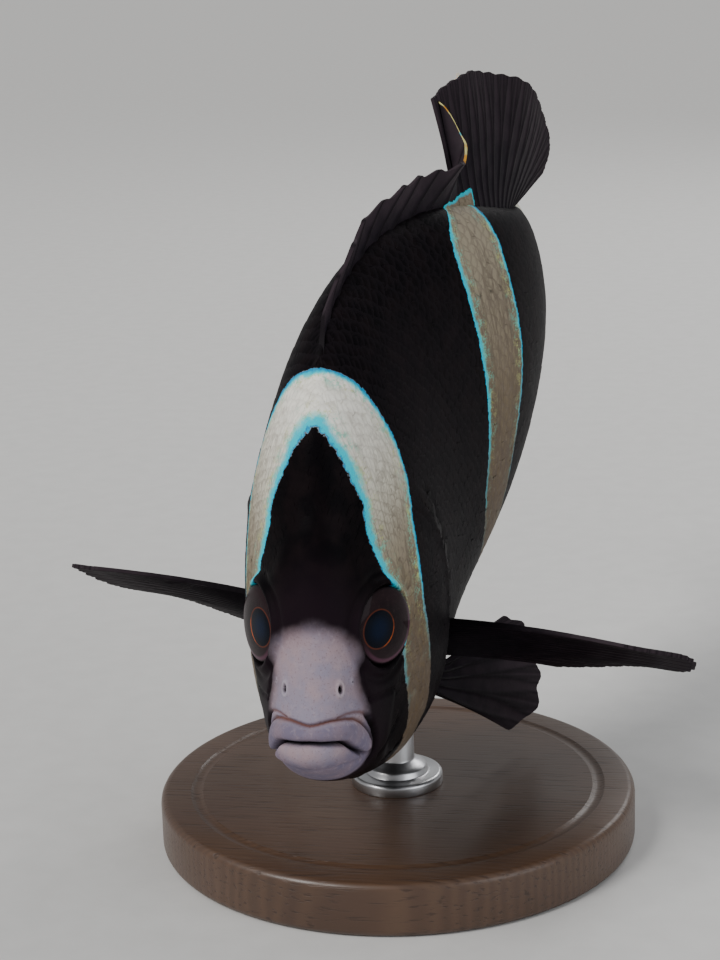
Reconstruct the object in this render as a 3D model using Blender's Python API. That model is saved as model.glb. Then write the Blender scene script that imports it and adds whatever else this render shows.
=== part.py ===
"""Clark's anemonefish (a clownfish) in its dark form: a still, life-size museum model on a small stand.

Metres, +Z up. The fish faces -Y with its left side towards +X, nose down, in a gentle S-bend. The origin is the
centre of the stand's underside. Shapes are worked out in body lengths along, across and above a straight body
("along" runs from the upper lip at 0 to the end of the tail stalk at 1), and place() then bends, tips and scales
them into the model's frame.
"""

import math

import bmesh
import bpy
import numpy as np
from mathutils import Vector

# ---------------------------------------------------------------- driving dimensions
BODY_LENGTH = 0.095  # upper lip to the end of the tail stalk
NOSE_DOWN = math.radians(22.0)  # how far the fish is tipped on its rod
TURN_LEFT = math.radians(27.5)  # the trunk swings to the fish's left ...
TURN_BACK = math.radians(48.0)  # ... and the tail swings back to its right
PIVOT_ALONG = 0.45  # the station that stands over the middle of the base
PIVOT_HEIGHT = 0.0440  # height of that station above the floor
GAP = 0.0003  # clearance between neighbouring pieces
MERGE = 0.00002  # points closer than this after a cut become one

BASE_RADIUS = 0.027
BASE_THICKNESS = 0.006
BASE_BEVEL = 0.0015
ROD_RADIUS = 0.0020
ROD_FLANGE_RADIUS = 0.0052
ROD_FLANGE_THICKNESS = 0.0014

# ---------------------------------------------------------------- the body's outline, in body lengths
BACK = [(0, -0.047), (0.012, -0.020), (0.03, -0.002), (0.06, 0.033), (0.10, 0.088), (0.15, 0.153), (0.212, 0.222),
        (0.278, 0.259), (0.36, 0.283), (0.45, 0.288), (0.55, 0.272), (0.65, 0.232), (0.75, 0.175), (0.85, 0.118),
        (0.92, 0.087), (1.0, 0.080)]
BELLY = [(0, -0.047), (0.012, -0.077), (0.03, -0.102), (0.07, -0.145), (0.12, -0.188), (0.20, -0.239), (0.30, -0.266),
         (0.42, -0.272), (0.52, -0.259), (0.60, -0.234), (0.68, -0.192), (0.76, -0.142), (0.85, -0.102),
         (0.92, -0.086), (1.0, -0.084)]
HALF_WIDTH = [(0, 0), (0.012, 0.027), (0.03, 0.039), (0.06, 0.051), (0.10, 0.067), (0.14, 0.081), (0.20, 0.098),
              (0.28, 0.110), (0.36, 0.107), (0.45, 0.100), (0.55, 0.089), (0.65, 0.071), (0.75, 0.053),
              (0.85, 0.037), (0.93, 0.025), (1.0, 0.018)]
WIDEST_AT = [(0, -0.047), (0.03, -0.062), (0.07, -0.073), (0.14, -0.074), (0.25, -0.050), (0.45, -0.034),
             (0.70, 0.004), (1.0, 0.0)]
# A section's upper and lower halves: 1 is an ellipse, more draws it in towards the back, less fills out its corners.
UPPER_POWER = [(0, 1.0), (0.12, 1.04), (0.30, 1.26), (0.60, 1.14), (1.0, 1.05)]
LOWER_POWER = [(0, 1.0), (0.12, 0.84), (0.30, 0.75), (0.60, 1.0), (1.0, 1.05)]

HEAD_END = 0.315
TRUNK_END = 0.74
AROUND = 34  # points round a section of the body

# ---------------------------------------------------------------- head
EYE_ALONG, EYE_ABOVE = 0.130, 0.021
EYE_RADIUS = 0.041  # across the eyeball
EYE_DEPTH = 0.026  # the flattened eyeball's half thickness
EYE_SUNK = 0.012  # how far its middle lies under the skin
MOUTH_FRONT, MOUTH_CORNER = (0.0, -0.052), (0.066, -0.088)
JAW_OUTLINE = [(-0.03, 0.008), MOUTH_CORNER, (0.088, -0.112), (0.094, -0.21), (-0.03, -0.21)]
GILL_COVER = {"along": 0.250, "above": -0.055, "half_long": 0.050, "half_tall": 0.125, "inner": 0.066}

# ---------------------------------------------------------------- fins
MEMBRANE = 0.0005  # thickness between the rays
RAY = 0.0009  # thickness over a ray
ROOT = 0.0018  # thickness where a fin leaves the body
FIN_ROWS = 5  # divisions along a ray
SUNK = 0.03  # how far a fin's root is carried into the body before it is trimmed


def smooth_curve(points, power=1.0):
    """A monotone cubic through (position, value) points. A power of 0.5 rounds off its start."""
    x = np.array([p[0] for p in points], float) ** power
    y = np.array([p[1] for p in points], float)
    step = np.diff(x)
    rise = np.diff(y) / step
    slope = np.empty_like(x)
    slope[0], slope[-1] = rise[0], rise[-1]
    for i in range(1, len(x) - 1):
        if rise[i - 1] * rise[i] <= 0:
            slope[i] = 0
        else:
            before, after = step[i - 1], step[i]
            w1, w2 = 2 * after + before, after + 2 * before
            slope[i] = (w1 + w2) / (w1 / rise[i - 1] + w2 / rise[i])

    def value(position):
        t = np.clip(np.asarray(position, float), points[0][0], points[-1][0]) ** power
        i = np.clip(np.searchsorted(x, t) - 1, 0, len(step) - 1)
        u = (t - x[i]) / step[i]
        return ((1 + 2 * u) * (1 - u) ** 2 * y[i] + u * (1 - u) ** 2 * step[i] * slope[i]
                + u * u * (3 - 2 * u) * y[i + 1] + u * u * (u - 1) * step[i] * slope[i + 1])

    return value


back = smooth_curve(BACK, 0.5)
belly = smooth_curve(BELLY, 0.5)
half_width = smooth_curve(HALF_WIDTH, 0.5)
widest_at = smooth_curve(WIDEST_AT)
upper_power = smooth_curve(UPPER_POWER)
lower_power = smooth_curve(LOWER_POWER)


def ease(low, high, x):
    t = np.clip((np.asarray(x, float) - low) / (high - low), 0, 1)
    return t * t * (3 - 2 * t)


def heading(along):
    """The way the body runs, as an angle towards the fish's left."""
    return TURN_LEFT * ease(0.20, 0.58, along) - TURN_BACK * ease(0.55, 1.08, along)


SPINE_AT = np.linspace(-0.2, 1.6, 1801)
SPINE_STEP = SPINE_AT[1] - SPINE_AT[0]
SPINE_LEFT = np.cumsum(np.sin(heading(SPINE_AT))) * SPINE_STEP
SPINE_BACK = np.cumsum(np.cos(heading(SPINE_AT))) * SPINE_STEP
SPINE_LEFT -= np.interp(PIVOT_ALONG, SPINE_AT, SPINE_LEFT)
SPINE_BACK -= np.interp(PIVOT_ALONG, SPINE_AT, SPINE_BACK)


def place(along, left, above):
    """A point of the straight body, in body lengths, to its place in the bent and tipped model, in metres."""
    turn = float(heading(along))
    x = np.interp(along, SPINE_AT, SPINE_LEFT) + left * math.cos(turn)
    y = np.interp(along, SPINE_AT, SPINE_BACK) - left * math.sin(turn)
    tipped_y = y * math.cos(NOSE_DOWN) - above * math.sin(NOSE_DOWN)
    tipped_z = y * math.sin(NOSE_DOWN) + above * math.cos(NOSE_DOWN)
    return Vector((x * BODY_LENGTH, tipped_y * BODY_LENGTH, tipped_z * BODY_LENGTH + PIVOT_HEIGHT))


def body_surface(along, angle, grow=0.0):
    """(left, above) on the skin at an angle round the body: 0 is its left side and 90 degrees its back."""
    c, s = math.cos(angle), math.sin(angle)
    middle = widest_at(along)
    tall = (back(along) - middle if s > 0 else middle - belly(along)) + grow
    power = upper_power(along) if s > 0 else lower_power(along)
    left = (half_width(along) + grow) * math.copysign(abs(c) ** power, c)
    return left, middle + tall * math.copysign(abs(s) ** power, s)


def side_width(along, above):
    """How far the skin lies from the middle plane at this place on the side."""
    middle = widest_at(along)
    tall = back(along) - middle if above > middle else middle - belly(along)
    power = upper_power(along) if above > middle else lower_power(along)
    share = min(abs(above - middle) / tall, 1.0) ** (1 / power)
    return half_width(along) * math.sqrt(1 - share * share) ** power


# ---------------------------------------------------------------- Blender helpers
def clear_scene():
    for old in list(bpy.data.objects):
        bpy.data.objects.remove(old)


def material(name, colour, roughness, metallic=0.0):
    made = bpy.data.materials.get(name)
    if made is None:
        made = bpy.data.materials.new(name)
        made.use_nodes = True
        shader = made.node_tree.nodes["Principled BSDF"]
        shader.inputs["Base Color"].default_value = (*colour, 1.0)
        shader.inputs["Roughness"].default_value = roughness
        shader.inputs["Metallic"].default_value = metallic
    return made


BLACK_SKIN = ("black_skin", (0.014, 0.011, 0.014), 0.45)
FACE_SKIN = ("face_skin", (0.42, 0.30, 0.30), 0.50)
FIN_BLACK = ("fin_black", (0.020, 0.014, 0.020), 0.45)
TAIL_PALE = ("tail_pale", (0.72, 0.68, 0.56), 0.50)
EYE_DARK = ("eye_dark", (0.030, 0.020, 0.028), 0.10)
WOOD = ("stand_wood", (0.12, 0.06, 0.03), 0.40)
STEEL = ("stand_steel", (0.60, 0.60, 0.62), 0.30, 1.0)


def new_object(name, bm, finish, angle=50.0):
    """The bmesh as an object with faces pointing out, smooth but for its sharp edges."""
    bm.normal_update()
    bmesh.ops.recalc_face_normals(bm, faces=bm.faces[:])
    if bm.calc_volume(signed=True) < 0:
        bmesh.ops.reverse_faces(bm, faces=bm.faces[:])
    mesh = bpy.data.meshes.new(name)
    bm.to_mesh(mesh)
    bm.free()
    mesh.materials.append(material(*finish))
    mesh.shade_smooth()
    mesh.set_sharp_from_angle(angle=math.radians(angle))
    made = bpy.data.objects.new(name, mesh)
    bpy.context.scene.collection.objects.link(made)
    return made


def as_cutter(cutter):
    cutter.hide_render = True
    cutter.display_type = "WIRE"
    return cutter


def boolean(target, cutter, operation):
    """Applies a cut at once, so that later copies carry it, and merges the slivers it leaves."""
    step = target.modifiers.new(operation.lower(), "BOOLEAN")
    step.object = cutter
    step.operation = operation
    step.solver = "EXACT"
    step.use_self = True
    graph = bpy.context.evaluated_depsgraph_get()
    mesh = bpy.data.meshes.new_from_object(target.evaluated_get(graph))
    target.modifiers.clear()
    bm = bmesh.new()
    bm.from_mesh(mesh)
    bmesh.ops.remove_doubles(bm, verts=bm.verts[:], dist=MERGE)
    bmesh.ops.dissolve_degenerate(bm, dist=MERGE, edges=bm.edges[:])
    bm.to_mesh(mesh)
    bm.free()
    target.data = mesh


def bridged_rings(bm, rings):
    """Quads between rings of equal length, and a fan or a flat cap over each end."""
    made = [[bm.verts.new(p) for p in ring] for ring in rings]
    count = max(len(r) for r in made)
    for a, b in zip(made, made[1:]):
        for i in range(count):
            j = (i + 1) % count
            if len(a) == 1:
                bm.faces.new((a[0], b[i], b[j]))
            elif len(b) == 1:
                bm.faces.new((a[i], a[j], b[0]))
            else:
                bm.faces.new((a[i], a[j], b[j], b[i]))
    for end in (made[0], made[-1]):
        if len(end) > 1:
            bm.faces.new(end)


def body_rings(stations, grow=0.0):
    rings = []
    for along in stations:
        if along <= 0:
            rings.append([place(-grow, 0, float(back(0)))])
            continue
        ring = []
        for i in range(AROUND):
            left, above = body_surface(along, 2 * math.pi * i / AROUND, grow)
            ring.append(place(along, left, above))
        rings.append(ring)
    return rings


def body_length_piece(name, stations, finish, grow=0.0):
    bm = bmesh.new()
    bridged_rings(bm, body_rings(stations, grow))
    return new_object(name, bm, finish)


def stations_between(start, end, count):
    return [start + (end - start) * i / count for i in range(count + 1)]


# ---------------------------------------------------------------- body
def make_body():
    """Head, trunk and tail stalk, parted by thin cuts across the body."""
    snout = [0.0] + [HEAD_END * (i / 14) ** 1.9 for i in range(1, 15)]
    cut = GAP / BODY_LENGTH
    head = body_length_piece("head", snout, BLACK_SKIN)
    body_length_piece("trunk", stations_between(HEAD_END + cut, TRUNK_END, 11), BLACK_SKIN)
    body_length_piece("tail_stalk", stations_between(TRUNK_END + cut, 1.0, 7), BLACK_SKIN)
    return head


def make_clearance():
    """The whole body grown by the gap: it trims the roots of the fins and the top of the rod."""
    stations = [0.0] + [0.06 * (i / 4) ** 1.9 for i in range(1, 5)] + stations_between(0.09, 1.0, 26)
    stations.append(1.0 + GAP / BODY_LENGTH)
    return as_cutter(body_length_piece("body_clearance", stations, BLACK_SKIN, GAP / BODY_LENGTH))


def outline_prism(name, outline, inner, outer):
    """An (along, above) outline carried across the head, from one distance off its middle to another."""
    bm = bmesh.new()
    bridged_rings(bm, [[place(along, left, above) for along, above in outline] for left in (inner, outer)])
    return as_cutter(new_object(name, bm, BLACK_SKIN))


def grown_outline(outline, amount):
    """The outline moved outwards from its middle by about this much."""
    middle = Vector(np.mean(outline, axis=0))
    grown = []
    for point in outline:
        arm = Vector(point) - middle
        grown.append(tuple(Vector(point) + arm.normalized() * amount))
    return grown


def copy_of(source, name, finish):
    made = source.copy()
    made.data = source.data.copy()
    made.name = name
    made.data.materials.clear()
    made.data.materials.append(material(*finish))
    bpy.context.scene.collection.objects.link(made)
    return made


def part_off(head, name, outline, inner, outer, finish):
    """Cuts a piece with this outline out of the head, and leaves a thin gap round it."""
    gap = GAP / BODY_LENGTH
    piece = copy_of(head, name, finish)
    boolean(piece, outline_prism(name + "_cutter", outline, inner, outer), "INTERSECT")
    near, far = sorted((inner, outer), key=abs)
    if near * far > 0:
        near -= math.copysign(gap, near)
    room = outline_prism(name + "_room", grown_outline(outline, gap * 1.3), near, far * 1.1)
    boolean(head, room, "DIFFERENCE")
    return piece


def gill_outline():
    """An upright oval, fuller behind, as the gill cover's edge is."""
    g = GILL_COVER
    outline = []
    for i in range(28):
        angle = 2 * math.pi * i / 28
        c, s = math.cos(angle), math.sin(angle)
        fuller = 1.0 if c > 0 else 0.86
        outline.append((g["along"] + g["half_long"] * fuller * c - 0.10 * g["half_long"] * s,
                        g["above"] + g["half_tall"] * s))
    return outline


def eye_frame(side):
    """Where an eye's middle lies and which way it looks, from the slope of the skin there."""
    reach = 0.03
    middle = side_width(EYE_ALONG, EYE_ABOVE)
    spot = place(EYE_ALONG, side * middle, EYE_ABOVE)
    behind = place(EYE_ALONG + reach, side * side_width(EYE_ALONG + reach, EYE_ABOVE), EYE_ABOVE)
    over = place(EYE_ALONG, side * side_width(EYE_ALONG, EYE_ABOVE + reach), EYE_ABOVE + reach)
    looks = (behind - spot).cross(over - spot).normalized()
    if looks.x * side < 0:
        looks = -looks
    return spot - looks * EYE_SUNK * BODY_LENGTH, looks


def eyeball(name, side, grow, finish):
    """A flattened ball that looks out square to the skin."""
    centre, looks = eye_frame(side)
    bm = bmesh.new()
    bmesh.ops.create_uvsphere(bm, u_segments=18, v_segments=9, radius=1.0)
    across = EYE_RADIUS * BODY_LENGTH + grow
    deep = EYE_DEPTH * BODY_LENGTH + grow
    turn = looks.to_track_quat("Z", "Y").to_matrix()
    for v in bm.verts:
        v.co = turn @ Vector((v.co.x * across, v.co.y * across, v.co.z * deep)) + centre
    return new_object(name, bm, finish)


def make_head_pieces(head):
    for side, word in ((1, "left"), (-1, "right")):
        socket = as_cutter(eyeball(f"eye_socket_{word}", side, GAP, EYE_DARK))
        boolean(head, socket, "DIFFERENCE")
        eyeball(f"eye_{word}", side, 0.0, EYE_DARK)
        part_off(head, f"gill_cover_{word}", gill_outline(), side * GILL_COVER["inner"], side * 0.16, BLACK_SKIN)
    part_off(head, "lower_jaw", JAW_OUTLINE, -0.12, 0.12, FACE_SKIN)


# ---------------------------------------------------------------- fins
def fin_solid(name, rays, point, finish, clearance, rows=FIN_ROWS):
    """A closed sheet. point(u, t) is a place in metres, u across the fin from 0 to 1 and t along a ray from 0 to 1.

    It is thick over its rays, thin between them and thickest at the root, and the root is trimmed to the body.
    """
    columns = 2 * rays - 1
    grid = [[point(i / (columns - 1), j / rows) for j in range(rows + 1)] for i in range(columns)]
    bm = bmesh.new()
    faces = ([], [])
    for i in range(columns):
        line = ([], [])
        for j in range(rows + 1):
            across = grid[min(i + 1, columns - 1)][j] - grid[max(i - 1, 0)][j]
            out = grid[i][min(j + 1, rows)] - grid[i][max(j - 1, 0)]
            normal = across.cross(out).normalized()
            t = j / rows
            on_ray = RAY * (1 - 0.4 * t) if i % 2 == 0 else MEMBRANE
            root = (ROOT - on_ray) * max(0.0, 1 - t / 0.35) ** 2
            for k, sign in enumerate((1, -1)):
                line[k].append(bm.verts.new(grid[i][j] + normal * sign * (on_ray + root) / 2))
        for k in range(2):
            faces[k].append(line[k])
    upper, lower = faces
    for side, reverse in ((upper, False), (lower, True)):
        for a, b in zip(side, side[1:]):
            for j in range(rows):
                quad = [a[j], b[j], b[j + 1], a[j + 1]]
                bm.faces.new(quad[::-1] if reverse else quad)
    edge = [upper[i][0] for i in range(columns)] + [upper[-1][j] for j in range(1, rows + 1)]
    edge += [upper[i][-1] for i in range(columns - 2, -1, -1)] + [upper[0][j] for j in range(rows - 1, 0, -1)]
    twin = [lower[i][0] for i in range(columns)] + [lower[-1][j] for j in range(1, rows + 1)]
    twin += [lower[i][-1] for i in range(columns - 2, -1, -1)] + [lower[0][j] for j in range(rows - 1, 0, -1)]
    for i in range(len(edge)):
        j = (i + 1) % len(edge)
        bm.faces.new((edge[i], edge[j], twin[j], twin[i]))
    made = new_object(name, bm, finish, 80.0)
    boolean(made, clearance, "DIFFERENCE")
    return made


def median_fin(start, end, edge, length, angle, lean, scallop=0.0, rays=10):
    """point(u, t) for a fin on the middle line. edge is back or belly; length, angle and lean are curves over u."""
    up = 1 if edge is back else -1

    def point(u, t):
        along = start + (end - start) * u
        rise, tip = math.radians(float(angle(u))), float(length(u))
        tip *= 1 - scallop * math.sin(math.pi * (u * (rays - 1) % 1.0)) ** 2
        reach = -SUNK + t * (tip + SUNK)
        side = math.radians(float(lean(u)))
        out = max(reach, 0.0)
        sway = math.sin(side) * out
        shorter = reach if reach < 0 else math.cos(side) * out
        return place(along + math.cos(rise) * shorter, -sway, float(edge(along)) + up * math.sin(rise) * shorter)

    return point


SPINY_START, SPINY_END, SOFT_END = 0.290, 0.640, 0.862
SPINY_LENGTH = [(0, 0.030), (0.2, 0.058), (0.5, 0.074), (0.75, 0.070), (0.88, 0.072), (1, 0.118)]
SPINY_ANGLE = [(0, 30), (0.5, 22), (0.8, 24), (0.92, 44), (1, 70)]
SPINY_LEAN = [(0, 0), (0.5, 4), (0.8, -6), (0.92, 2), (1, 17)]
SOFT_LENGTH = [(0, 0.122), (0.12, 0.142), (0.3, 0.157), (0.5, 0.156), (0.72, 0.137), (0.88, 0.108), (1, 0.056)]
SOFT_ANGLE = [(0, 72), (0.4, 60), (0.75, 44), (1, 26)]
SOFT_LEAN = [(0, 19), (0.25, 12), (0.6, -8), (1, -38)]
ANAL_START, ANAL_END = 0.63, 0.868
ANAL_LENGTH = [(0, 0.040), (0.12, 0.070), (0.3, 0.112), (0.5, 0.134), (0.75, 0.126), (0.9, 0.098), (1, 0.066)]
ANAL_ANGLE = [(0, 56), (0.4, 50), (0.75, 38), (1, 24)]
ANAL_LEAN = [(0, 14), (0.6, 20), (1, 18)]
SPINES, SOFT_RAYS, ANAL_RAYS = 11, 16, 14


def make_median_fins(clearance):
    curve = smooth_curve
    spiny = median_fin(SPINY_START, SPINY_END, back, curve(SPINY_LENGTH), curve(SPINY_ANGLE), curve(SPINY_LEAN), 0.10,
                       SPINES)
    fin_solid("dorsal_fin_spiny", SPINES, spiny, FIN_BLACK, clearance)
    gap = 1.3 * GAP / BODY_LENGTH
    soft = median_fin(SPINY_END + gap, SOFT_END, back, curve(SOFT_LENGTH), curve(SOFT_ANGLE), curve(SOFT_LEAN))
    fin_solid("dorsal_fin_soft", SOFT_RAYS, soft, FIN_BLACK, clearance)
    anal = median_fin(ANAL_START, ANAL_END, belly, curve(ANAL_LENGTH), curve(ANAL_ANGLE), curve(ANAL_LEAN))
    fin_solid("anal_fin", ANAL_RAYS, anal, FIN_BLACK, clearance)


TAIL_RAYS = 15
TAIL_BASE = (-0.074, 0.070)  # lowest and highest root of the tail fin
TAIL_SPREAD = math.radians(18)  # its outer rays fan out this far
TAIL_LENGTH = [(0, 0.214), (0.14, 0.228), (0.34, 0.221), (0.5, 0.216), (0.66, 0.221), (0.86, 0.228), (1, 0.214)]
TAIL_SUNK = 0.05


def make_tail_fin(clearance):
    length = smooth_curve(TAIL_LENGTH)

    def point(u, t):
        fan = (2 * u - 1) * TAIL_SPREAD
        root = TAIL_BASE[0] + (TAIL_BASE[1] - TAIL_BASE[0]) * u
        reach = -TAIL_SUNK + t * (float(length(u)) + TAIL_SUNK)
        bow = 0.35 * max(reach, 0) * (1 - abs(2 * u - 1)) * 0.10
        return place(1.0 + math.cos(fan) * reach, -bow, root + math.sin(fan) * max(reach, 0))

    fin_solid("tail_fin", TAIL_RAYS, point, TAIL_PALE, clearance)


# A paired fin: where its root's middle lies, half the root's length, and its ways in (rearward, left, up), for the
# left fin. The right one mirrors them, swept a little further back, as two fins are seldom held alike.
RIGHT_SWEEP = 0.07
PECTORAL = {"along": 0.352, "above": -0.174, "half_root": 0.046, "length": 0.285, "spread": 31, "rays": 14,
            "root": (0.42, 0.0, -0.91), "out": (0.20, 0.94, -0.10), "chord": (0.74, -0.10, -0.66),
            "sink": (-0.2, -1.0, 0.1)}
PELVIC = {"along": 0.325, "above": -0.222, "half_root": 0.024, "length": 0.235, "spread": 22, "rays": 6,
          "root": (1.0, 0.0, -0.10), "out": (0.80, 0.42, -0.44), "chord": (0.55, 0.10, 0.80),
          "sink": (-0.3, -0.45, 0.85)}
PECTORAL_EDGE = [(0, 0.80), (0.15, 0.95), (0.35, 1.0), (0.6, 0.93), (0.85, 0.72), (1, 0.50)]
PELVIC_EDGE = [(0, 0.78), (0.2, 1.0), (0.5, 0.92), (0.8, 0.74), (1, 0.58)]


def paired_fin(fin, edge, side):
    """point(u, t) for a pectoral or pelvic fin. Its rays fan out from a short root, upper or outer ray first."""
    curve = smooth_curve(edge)
    width = side_width(fin["along"], fin["above"])
    mirror = Vector((1, side, 1))
    root = Vector(fin["root"]).normalized() * mirror
    out = (Vector(fin["out"]) + Vector((RIGHT_SWEEP if side < 0 else 0, 0, 0))).normalized()
    sink = Vector(fin["sink"]).normalized() * mirror
    chord = Vector(fin["chord"])
    chord = (chord - chord.project(out)).normalized() * mirror
    out = out * mirror
    middle = Vector((fin["along"], side * width, fin["above"]))

    def point(u, t):
        swing = (u - 0.5) * 2
        fan = math.radians(fin["spread"]) * swing
        reach = -SUNK + t * (fin["length"] * float(curve(u)) + SUNK)
        way = (out * math.cos(fan) + chord * math.sin(fan)).normalized()
        droop = Vector((0, 0, -0.30 * max(reach, 0) ** 2))
        spot = middle + root * fin["half_root"] * swing + (way if reach > 0 else -sink) * reach + droop
        return place_rigid(spot, fin["along"])

    return point


def place_rigid(spot, along):
    """Like place(), but the spot keeps its stance to the body at this station, so a paired fin isn't bent."""
    turn = float(heading(along))
    beyond = spot.x - along
    origin = place(along, spot.y, spot.z)
    rear = Vector((math.sin(turn), math.cos(turn) * math.cos(NOSE_DOWN), math.cos(turn) * math.sin(NOSE_DOWN)))
    return origin + rear * beyond * BODY_LENGTH


def make_paired_fins(clearance):
    for side, word in ((1, "left"), (-1, "right")):
        fin_solid(f"pectoral_fin_{word}", PECTORAL["rays"], paired_fin(PECTORAL, PECTORAL_EDGE, side), FIN_BLACK,
                  clearance)
        fin_solid(f"pelvic_fin_{word}", PELVIC["rays"], paired_fin(PELVIC, PELVIC_EDGE, side), FIN_BLACK, clearance)


# ---------------------------------------------------------------- stand
def turned(name, profile, segments, finish):
    """A (radius, height) profile spun about the upright axis."""
    bm = bmesh.new()
    rings = []
    for radius, height in profile:
        if radius == 0:
            rings.append([Vector((0, 0, height))])
        else:
            turns = [2 * math.pi * i / segments for i in range(segments)]
            rings.append([Vector((radius * math.cos(a), radius * math.sin(a), height)) for a in turns])
    bridged_rings(bm, rings)
    return new_object(name, bm, finish, 30.0)


def make_stand(clearance):
    """A round base with eased edges, and a short flanged rod that carries the fish under its belly."""
    rounding = [math.radians(a) for a in (0, 30, 60, 90)]
    inner, shoulder = BASE_RADIUS - BASE_BEVEL, BASE_THICKNESS - BASE_BEVEL
    corner = [(inner + BASE_BEVEL * math.cos(a), shoulder + BASE_BEVEL * math.sin(a)) for a in rounding]
    foot = [(BASE_RADIUS - BASE_BEVEL / 2, 0.0), (BASE_RADIUS, BASE_BEVEL / 2)]
    turned("stand_base", foot + corner, 48, WOOD)
    foot_level = BASE_THICKNESS + GAP
    flange = foot_level + ROD_FLANGE_THICKNESS
    profile = [(ROD_FLANGE_RADIUS, foot_level), (ROD_FLANGE_RADIUS, flange - 0.0004),
               (ROD_FLANGE_RADIUS - 0.0004, flange), (ROD_RADIUS + 0.0008, flange + 0.0002),
               (ROD_RADIUS, flange + 0.0010), (ROD_RADIUS, PIVOT_HEIGHT)]
    rod = turned("stand_rod", profile, 28, STEEL)
    boolean(rod, clearance, "DIFFERENCE")


def main():
    clear_scene()
    head = make_body()
    clearance = make_clearance()
    make_head_pieces(head)
    make_median_fins(clearance)
    make_tail_fin(clearance)
    make_paired_fins(clearance)
    make_stand(clearance)


main()
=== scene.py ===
# %% [markdown]
# # A dark clownfish on a display stand
# This lesson dresses a small museum model: a Clark's anemonefish in its black form, nose down on a short rod.
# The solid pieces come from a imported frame. The looks are made here: one skin without seams, overlapping
# scales, rayed fins, wet eyes and a turned wooden stand. Each step says what the real thing is and why it is
# made this way.

# %% Tools and the fixed frame
import math

import bmesh
import bpy
import numpy as np
from mathutils import Matrix, Vector
from mathutils.kdtree import KDTree


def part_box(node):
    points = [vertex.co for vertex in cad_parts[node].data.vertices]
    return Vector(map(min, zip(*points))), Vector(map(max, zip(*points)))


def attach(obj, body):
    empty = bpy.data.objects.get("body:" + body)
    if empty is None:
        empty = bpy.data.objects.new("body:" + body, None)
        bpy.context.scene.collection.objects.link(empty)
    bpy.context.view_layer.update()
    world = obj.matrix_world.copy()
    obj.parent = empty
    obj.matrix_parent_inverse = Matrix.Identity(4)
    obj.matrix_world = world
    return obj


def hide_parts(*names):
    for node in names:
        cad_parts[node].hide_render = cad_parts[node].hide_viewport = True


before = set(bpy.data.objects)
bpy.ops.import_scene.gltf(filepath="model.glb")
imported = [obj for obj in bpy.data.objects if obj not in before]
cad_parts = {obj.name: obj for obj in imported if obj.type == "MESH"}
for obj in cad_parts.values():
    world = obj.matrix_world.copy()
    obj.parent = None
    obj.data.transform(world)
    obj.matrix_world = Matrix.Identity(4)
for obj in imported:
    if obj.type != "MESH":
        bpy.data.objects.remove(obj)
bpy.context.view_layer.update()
bpy.ops.object.select_all(action="DESELECT")

# %% [markdown]
# ## The fish's own ruler
# A bent body is hard to shape directly. So every feature is placed on a straight fish, in body lengths: how
# far along from the upper lip, how far to its left, and how far above its middle line. One function then
# bends and tips the result onto the stand. The smooth curves through a few points give the back, the belly
# and the width.

# %% Curves through a few points
BODY_LENGTH = 0.095  # metres, from the upper lip to the root of the tail fin
MM = 0.001 / BODY_LENGTH  # one millimetre, in body lengths
NOSE_DOWN = math.radians(22.0)
TURN_LEFT = math.radians(27.5)  # the trunk's bend
TURN_BACK = math.radians(48.0)  # the stalk's and the tail's swing the other way
PIVOT_ALONG, PIVOT_HEIGHT = 0.45, 0.0440  # the place over the rod, in body lengths, and its height in metres


def smooth_curve(points, power=1.0):
    """A monotone cubic through (position, value) points. A power of 0.5 rounds off its start."""
    x = np.array([p[0] for p in points], float) ** power
    y = np.array([p[1] for p in points], float)
    step = np.diff(x)
    rise = np.diff(y) / step
    slope = np.empty_like(x)
    slope[0], slope[-1] = rise[0], rise[-1]
    for i in range(1, len(x) - 1):
        if rise[i - 1] * rise[i] <= 0:
            slope[i] = 0
        else:
            before, after = 2 * step[i] + step[i - 1], step[i] + 2 * step[i - 1]
            slope[i] = (before + after) / (before / rise[i - 1] + after / rise[i])

    def value(position):
        t = np.clip(np.asarray(position, float), points[0][0], points[-1][0]) ** power
        i = np.clip(np.searchsorted(x, t) - 1, 0, len(step) - 1)
        u = (t - x[i]) / step[i]
        return ((1 + 2 * u) * (1 - u) ** 2 * y[i] + u * (1 - u) ** 2 * step[i] * slope[i]
                + u * u * (3 - 2 * u) * y[i + 1] + u * u * (u - 1) * step[i] * slope[i + 1])

    return value


def by_height(points):
    """A smooth curve over height, given from the top down as (value, height)."""
    return smooth_curve([(height, value) for value, height in reversed(points)])


def ease(low, high, x):
    """0 at low and 1 at high, with a smooth change between. Low may be the greater."""
    t = np.clip((np.asarray(x, float) - low) / (high - low), 0, 1)
    return t * t * (3 - 2 * t)


def bump(x, width):
    """1 at zero, falling smoothly away on both sides."""
    return np.exp(-((x / width) ** 2))


print("body length, mm:", round(BODY_LENGTH * 1000, 1), "one mm is", round(MM, 4), "body lengths")

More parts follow.
